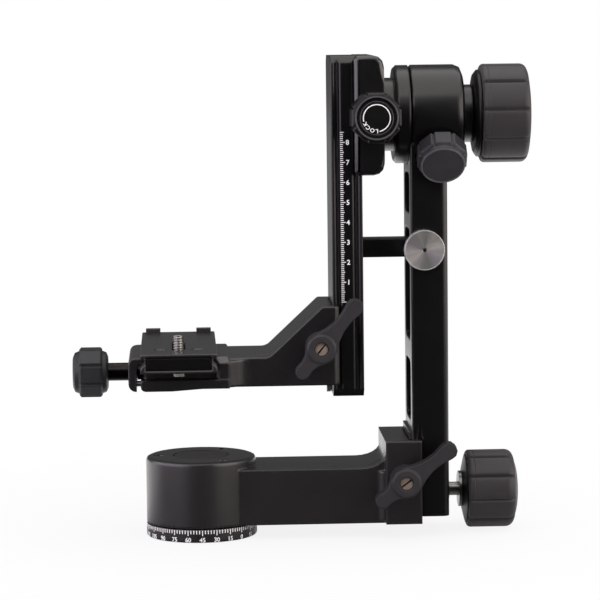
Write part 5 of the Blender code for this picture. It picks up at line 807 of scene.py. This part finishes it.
# Where a point lies along its lobe, from 0 to 1, and how deep it lies there in millimetres.
LOBE_POINTS = [(0, 1.5), (0.07, 0.34), (0.09, 0.18), (0.14, 0.06), (0.22, 0), (0.35, 0), (0.5, 0),
               (0.65, 0), (0.78, 0), (0.86, 0.06), (0.91, 0.18), (0.93, 0.34)]
BACK_ROUND, GRIP_WALL = 2.0 * MM, 4.5 * MM
DOME_SHARES = (0.85, 0.7, 0.55, 0.4)
SEAM_AT, SEAM_HALF, SEAM_DEPTH = 3.4 * MM, 0.3 * MM, 0.18 * MM
BEND_STEPS = 6


def lobed_grip(name, node, body, radius, bore, corner, dome, first_groove):
    """A grip round an X axis, in the place of an engineered one."""
    (left, _, bottom), (right, _, top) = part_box(node)
    middle = (bottom + top) / 2
    bends = [pi / 2 * step / BEND_STEPS for step in range(BEND_STEPS + 1)]
    stations = [(right - GRIP_WALL, bore, 0), (left, bore, 0)]
    stations += [(left + BACK_ROUND * (1 - cos(bend)), radius - BACK_ROUND * (1 - sin(bend)), 1)
                 for bend in bends]
    seam = left + SEAM_AT
    stations += [(seam - SEAM_HALF, radius, 1), (seam, radius - SEAM_DEPTH, 1), (seam + SEAM_HALF, radius, 1)]
    shoulder, reach = right - dome - corner, radius - corner
    stations += [(shoulder + corner * sin(bend), radius - corner * (1 - cos(bend)), cos(bend) ** 2)
                 for bend in bends]
    for share in DOME_SHARES:
        rise = (1 - share) / (1 - DOME_SHARES[-1])
        stations.append((right - dome + dome * (1 - (1 - rise) ** 2), reach * share, 0))
    shape = bmesh.new()
    rings = []
    for along, distance, groove in stations:
        ring = []
        for lobe in range(GRIP_LOBES):
            for place, depth in LOBE_POINTS:
                turn = first_groove + 2 * pi * (lobe + place) / GRIP_LOBES
                out = distance - depth * MM * groove
                ring.append(shape.verts.new((along, out * cos(turn), middle + out * sin(turn))))
        rings.append(ring)
    skin(shape, rings)
    grip = publish(name, shape, rubber, body, smooth=True)
    break_edges(grip, 0)
    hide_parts(node)


lobed_grip("pan_lock_grip", "pan_lock_knob", "pan_lock", radius=19.9 * MM, bore=15.0 * MM,
           corner=4.5 * MM, dome=1.8 * MM, first_groove=radians(153))
lobed_grip("tilt_lock_grip", "tilt_lock_knob", "tilt_lock", radius=24.9 * MM, bore=20.0 * MM,
           corner=3.5 * MM, dome=1.3 * MM, first_groove=radians(174))
print("grips with", GRIP_LOBES, "lobes each")

# %% [markdown]
# ## Turned trim
# Rims, grooves and small discs are all turned forms. A cylinder with bevelled edges could stand for
# some of them, but one helper that spins a section round an axis makes them all, and each has just the
# section that it needs: a bead with a rounded top, or a flat band.


# %% Helpers for turned trim
BEAD_STEPS = 8


def turned_piece(name, section, direction, place, material, body, around=72):
    """Spin a closed section of (radius, depth) pairs round a direction, and publish it."""
    shape = bmesh.new()
    rings = []
    for step in range(around):
        turn = 2 * pi * step / around
        rings.append([shape.verts.new((r * cos(turn), r * sin(turn), d)) for r, d in section])
    corners = len(section)
    for step in range(around):
        near_ring, far_ring = rings[step], rings[(step + 1) % around]
        for corner in range(corners):
            following = (corner + 1) % corners
            shape.faces.new((near_ring[corner], far_ring[corner], far_ring[following], near_ring[following]))
    piece = publish(name, turn_to(shape, direction, place), material, body, smooth=True)
    break_edges(piece, 0)


def round_bead(radius, half_width, rise, sunk):
    """A section with a rounded top, for a rim of this radius."""
    bends = [pi * step / BEAD_STEPS for step in range(BEAD_STEPS + 1)]
    top = [(radius + half_width * cos(bend), rise * sin(bend)) for bend in bends]
    return top + [(radius - half_width, -sunk), (radius + half_width, -sunk)]


def flat_band(inner_radius, outer_radius, rise, sunk):
    """A flat ring section."""
    return [(inner_radius, -sunk), (outer_radius, -sunk), (outer_radius, rise), (inner_radius, rise)]


print("turned trim is made with", BEAD_STEPS, "steps across a bead")

# %% [markdown]
# ## Trim on the rail's lock knob
# The knob has a narrow bead along its outer rim, in a lighter grey that paints its highlight. Inside it a
# black groove separates the rim from the recessed face, which has a stepped edge of its own, painted
# lighter in the same way, and a satin disc in the middle, for the word.

# %% Lock knob trim
BAND_SUNK, RIM_SUNK = 0.06 * MM, 0.3 * MM
PINHOLE = 0.01 * MM
FRONT = (0, -1, 0)
recess_floor = Vector((KNOB_X, KNOB_FACE + FACE_DISC, KNOB_Z))
knob_front = Vector((KNOB_X, KNOB_BOX[0].y, KNOB_Z))
rim_bead = round_bead(radius=10.4 * MM, half_width=0.4 * MM, rise=0.1 * MM, sunk=BAND_SUNK)
groove_band = flat_band(inner_radius=8.3 * MM, outer_radius=9.75 * MM, rise=0.03 * MM, sunk=BAND_SUNK)
step_bead = round_bead(radius=8.15 * MM, half_width=0.22 * MM, rise=0.28 * MM, sunk=BAND_SUNK)
face_disc = flat_band(inner_radius=PINHOLE, outer_radius=7.9 * MM, rise=FACE_DISC, sunk=BAND_SUNK)
for name, section, place, finish in (("lock_knob_rim", rim_bead, knob_front, abs_rim_highlight),
                                     ("lock_knob_groove", groove_band, recess_floor, abs_deep),
                                     ("lock_knob_step", step_bead, recess_floor, abs_rim_highlight),
                                     ("lock_knob_disc", face_disc, recess_floor, abs_deep)):
    turned_piece(name, section, FRONT, place, finish, "rail_lock")
print("the lock knob's face lies", round(RECESS / MM, 1), "mm deep in its rim")

# %% [markdown]
# ## Trim on the drag knob and the thumbscrew
# The drag knob looks down and forwards from the hub at 37 degrees, and the edge of its cap is rounded,
# with a lighter grey bead that paints its highlight. The thumbscrew's face is ringed by a near-white bead
# that paints its highlight, with a small black disc in its middle that paints the shade of the lathe's centre
# hole.

# %% Drag knob and thumbscrew trim
DRAG_TILT = radians(36.87)
DRAG_AXIS = Vector((0, -cos(DRAG_TILT), -sin(DRAG_TILT)))
DRAG_X, DRAG_REACH = 121.8 * MM, 41.0 * MM
drag_face = Vector((DRAG_X, 0, TILT_LEVEL)) + DRAG_AXIS * DRAG_REACH
cap_bead = round_bead(radius=10.6 * MM, half_width=0.45 * MM, rise=0.3 * MM, sunk=RIM_SUNK)
turned_piece("drag_knob_rim", cap_bead, DRAG_AXIS, drag_face, abs_rim_highlight, "drag")
disc_middle = middle_of("latch_thumbscrew")
disc_front = Vector((disc_middle.x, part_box("latch_thumbscrew")[0].y, disc_middle.z))
disc_bead = round_bead(radius=9.78 * MM, half_width=0.2 * MM, rise=0.15 * MM, sunk=RIM_SUNK)
turned_piece("thumbscrew_rim", disc_bead, FRONT, disc_front, rim_highlight_steel, "latch_screw")
# A black disc at the centre paints the shade inside the lathe's centre hole.
centre_shade_disc = flat_band(inner_radius=PINHOLE, outer_radius=0.7 * MM, rise=0, sunk=RIM_SUNK)
turned_piece("thumbscrew_centre_shade", centre_shade_disc, FRONT, disc_front, abs_deep, "latch_screw")
print("drag knob's face at", [round(part / MM, 1) for part in drag_face], "mm")

# %% [markdown]
# ## Slots in the lever screws
# Each clamp lever turns on a broad screw with a slot for a coin. The slot is in the solid, and what
# makes it read from afar is the shade inside it. A thin black plate paints that shade. It lies in the slot,
# 0.3 mm below the head, turned to the angle at which the screw came to rest.

# %% Screw slots
SLOT_LONG, SLOT_WIDE, SLOT_FLOOR, SLOT_PLATE = 5.9 * MM, 0.84 * MM, 0.3 * MM, 0.1 * MM
SLOTS = [("foot_screw_slot_shade", "foot_lever_screw", "foot_lever", radians(36.6)),
         ("platform_screw_slot_shade", "platform_lever_screw", "platform_lever", radians(50.5))]
for name, screw, body, angle in SLOTS:
    head = Vector((middle_of(screw).x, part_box(screw)[0].y + SLOT_FLOOR, middle_of(screw).z))
    slot = bmesh.new()
    bmesh.ops.create_cube(slot, size=1.0)
    bmesh.ops.scale(slot, vec=(SLOT_LONG, SLOT_PLATE, SLOT_WIDE), verts=slot.verts[:])
    bmesh.ops.rotate(slot, cent=(0, 0, 0), matrix=Matrix.Rotation(-angle, 3, "Y"), verts=slot.verts[:])
    bmesh.ops.translate(slot, vec=head, verts=slot.verts[:])
    # The black plate paints the shade in the slot.
    publish(name, slot, abs_deep, body)
print("dark floors in", len(SLOTS), "screw slots")

# %% [markdown]
# ## The plate's end panel
# The end of the camera plate has a shallow recess with a bare dark panel in it. A thin black sheet lies
# on the recess's floor, so that the lighter frame round it shows.

# %% End panel
PANEL_HALF, PANEL_LOW, PANEL_HIGH = 16.1 * MM, 89.8 * MM, 96.3 * MM
PANEL_FLOOR, PANEL_RISE = 0.7 * MM, 0.15 * MM
plate_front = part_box("camera_plate")[0].y
plate_x = (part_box("camera_plate")[0].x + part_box("camera_plate")[1].x) / 2
end_panel = bmesh.new()
add_rectangle(end_panel, plate_x - PANEL_HALF, plate_x + PANEL_HALF, PANEL_LOW, PANEL_HIGH, -BAND_SUNK,
              PANEL_RISE, lambda x, z, depth: (x, plate_front + PANEL_FLOOR - depth, z))
publish("end_panel", end_panel, fine_anodised, "plate")
print("end panel:", round(2 * PANEL_HALF / MM, 1), "mm wide")

# %% [markdown]
# ## The floor
# The picture is a packshot on white. The floor is a plain pale plane under the head, and a part of its
# white is a glow, so that no lamp has to be turned up for it. The glow shows only to the camera, a
# little less near the head, where the shadow stays. Mirror rays see the floor too: dark in front, so
# that black parts stay black, bright behind, and weaker far away. Light Path tells the rays apart.

# %% Floor
FLOOR_REACH, FLOOR_GAP = 6.0, 0.2 * MM
GLOW_NEAR, GLOW_FAR = 0.86, 1.0
NEAR_REACH, FAR_REACH = 0.1, 0.32
MIRROR_FRONT, MIRROR_BACK, MIRROR_FAR = 0.03, 1.0, 0.3
FRONT_ENDS_AT, BACK_STARTS_AT = -0.05, 0.12
FADE_FROM, FADE_TO = 0.5, 1.3


def seen_directly(tree):
    """Light Path, and a value of one for rays of the camera or through glass, and nought for others."""
    ray = add(tree, "ShaderNodeLightPath")
    both = add(tree, "ShaderNodeMath", {"operation": "MAXIMUM"}, ray.outputs["Is Camera Ray"],
               ray.outputs["Is Transmission Ray"])
    return ray, both.outputs["Value"]


floor_mesh = bpy.data.meshes.new("pale_floor")
floor_mesh.from_pydata([(-FLOOR_REACH, -FLOOR_REACH, 0), (FLOOR_REACH, -FLOOR_REACH, 0),
                        (FLOOR_REACH, FLOOR_REACH, 0), (-FLOOR_REACH, FLOOR_REACH, 0)], [], [(0, 1, 2, 3)])
floor = bpy.data.objects.new("pale_floor", floor_mesh)
floor.location = (0, 0, cad_low[2] - FLOOR_GAP)
bpy.context.scene.collection.objects.link(floor)
floor_white, floor_tree, floor_shader = new_material("pale_floor", "#f0f0f0", 0.9)
floor_mesh.materials.append(floor_white)
print("floor at", round(floor.location.z, 4), "m")

# %% Floor glow
ray, direct = seen_directly(floor_tree)
place = add(floor_tree, "ShaderNodeTexCoord").outputs["Object"]
distance = add(floor_tree, "ShaderNodeVectorMath", {"operation": "LENGTH"}, place).outputs["Value"]
sides = add(floor_tree, "ShaderNodeSeparateXYZ", Vector=place)
spread = add(floor_tree, "ShaderNodeMapRange",
             {"interpolation_type": "SMOOTHSTEP", "From Min": NEAR_REACH, "From Max": FAR_REACH,
              "To Min": GLOW_NEAR, "To Max": GLOW_FAR}, Value=distance)
share = add(floor_tree, "ShaderNodeMath", {"operation": "MULTIPLY"}, direct, spread.outputs["Result"])
whole = add(floor_tree, "ShaderNodeMath", {"operation": "MAXIMUM"}, share.outputs["Value"],
            ray.outputs["Is Glossy Ray"])
behind = add(floor_tree, "ShaderNodeMapRange",
             {"interpolation_type": "SMOOTHSTEP", "From Min": FRONT_ENDS_AT, "From Max": BACK_STARTS_AT,
              "To Min": MIRROR_FRONT, "To Max": MIRROR_BACK}, Value=sides.outputs["Y"])
away = add(floor_tree, "ShaderNodeMapRange",
           {"interpolation_type": "SMOOTHSTEP", "From Min": FADE_FROM, "From Max": FADE_TO,
            "To Min": 1.0, "To Max": MIRROR_FAR}, Value=distance)
mirrored = add(floor_tree, "ShaderNodeMath", {"operation": "MULTIPLY"}, behind.outputs["Result"],
               away.outputs["Result"])
level = add(floor_tree, "ShaderNodeMath", {"operation": "MAXIMUM"}, direct, mirrored.outputs["Value"])
glow = add(floor_tree, "ShaderNodeEmission", {"Color": linear("#ffffff")}, Strength=level.outputs["Value"])
mixed = add(floor_tree, "ShaderNodeMixShader", None, whole.outputs["Value"], floor_shader.outputs["BSDF"],
            glow.outputs["Emission"])
floor_tree.links.new(mixed.outputs["Shader"], floor_tree.nodes["Material Output"].inputs["Surface"])
print("the floor's glow grows from", GLOW_NEAR, "to", GLOW_FAR, "over", FAR_REACH, "m")

# %% [markdown]
# ## The world
# The camera sees plain white all round. The pieces get only a weak, even light from it, because the
# lamps do the work. In mirror rays the world is nearly black in front and a little brighter behind, as
# in a studio whose white backdrop hangs behind the object.

# %% World
AMBIENT, MIRRORED_FRONT, MIRRORED_BACK = 0.35, 0.015, 0.09
SKY_FRONT_ENDS_AT, SKY_BACK_STARTS_AT = -0.1, 0.7
world = bpy.data.worlds.new("white_studio")
bpy.context.scene.world = world
world.use_nodes = True
sky = world.node_tree
sky.nodes.clear()
ray, direct = seen_directly(sky)
white = add(sky, "ShaderNodeBackground", {"Color": linear("#ffffff"), "Strength": 1.0})
heading = add(sky, "ShaderNodeTexCoord")
heading_parts = add(sky, "ShaderNodeSeparateXYZ", Vector=heading.outputs["Generated"])
mirrored = add(sky, "ShaderNodeMapRange",
               {"interpolation_type": "SMOOTHSTEP", "From Min": SKY_FRONT_ENDS_AT,
                "From Max": SKY_BACK_STARTS_AT, "To Min": MIRRORED_FRONT, "To Max": MIRRORED_BACK},
               Value=heading_parts.outputs["Y"])
strength = add(sky, "ShaderNodeMapRange", {"To Min": AMBIENT}, Value=ray.outputs["Is Glossy Ray"],
               To_Max=mirrored.outputs["Result"])
room = add(sky, "ShaderNodeBackground", {"Color": linear("#ffffff")}, Strength=strength.outputs["Result"])
choice = add(sky, "ShaderNodeMixShader", None, direct, room.outputs["Background"],
             white.outputs["Background"])
add(sky, "ShaderNodeOutputWorld", Surface=choice.outputs["Shader"])
bpy.context.scene.view_settings.view_transform = "Standard"
print("the world lights the pieces at", AMBIENT, "of the white that the camera sees")

# %% [markdown]
# ## The lamps
# Three large soft lamps do the work: one overhead, which draws the pale tops and rims, and one low on
# each side, which draw the long grey bands down the round and upright forms. A small weak one, high in
# front, opens the shadows. The power grows with a lamp's size, so that its surface is equally bright
# however large it is made.


# %% Lamps
MIDDLE = Vector((0.05, 0.0, 0.12))


def softbox(name, bearing, height, distance, size, brightness, tint="#ffffff"):
    """A soft lamp seen from the head at a bearing from the front and a height angle, both in degrees."""
    data = bpy.data.lights.new(name, "AREA")
    data.shape = "RECTANGLE"
    data.size, data.size_y = size
    data.energy = brightness * pi * size[0] * size[1]
    data.color = linear(tint)[:3]
    lamp = bpy.data.objects.new(name, data)
    bpy.context.scene.collection.objects.link(lamp)
    turn, rise = radians(bearing), radians(height)
    away = Vector((sin(turn) * cos(rise), -cos(turn) * cos(rise), sin(rise)))
    lamp.location = MIDDLE + distance * away
    lamp.rotation_euler = (-away).to_track_quat("-Z", "Y").to_euler()


softbox("top_softbox", bearing=0, height=86, distance=1.2, size=(1.9, 2.0), brightness=1.1,
        tint="#fffcf8")
softbox("left_softbox", bearing=-74, height=12, distance=1.2, size=(2.3, 1.3), brightness=1.5,
        tint="#fbefff")
softbox("right_softbox", bearing=69, height=12, distance=1.2, size=(1.95, 1.3), brightness=1.55,
        tint="#fff5f1")
softbox("front_fill", bearing=-10, height=42, distance=1.8, size=(0.8, 0.8), brightness=0.8)
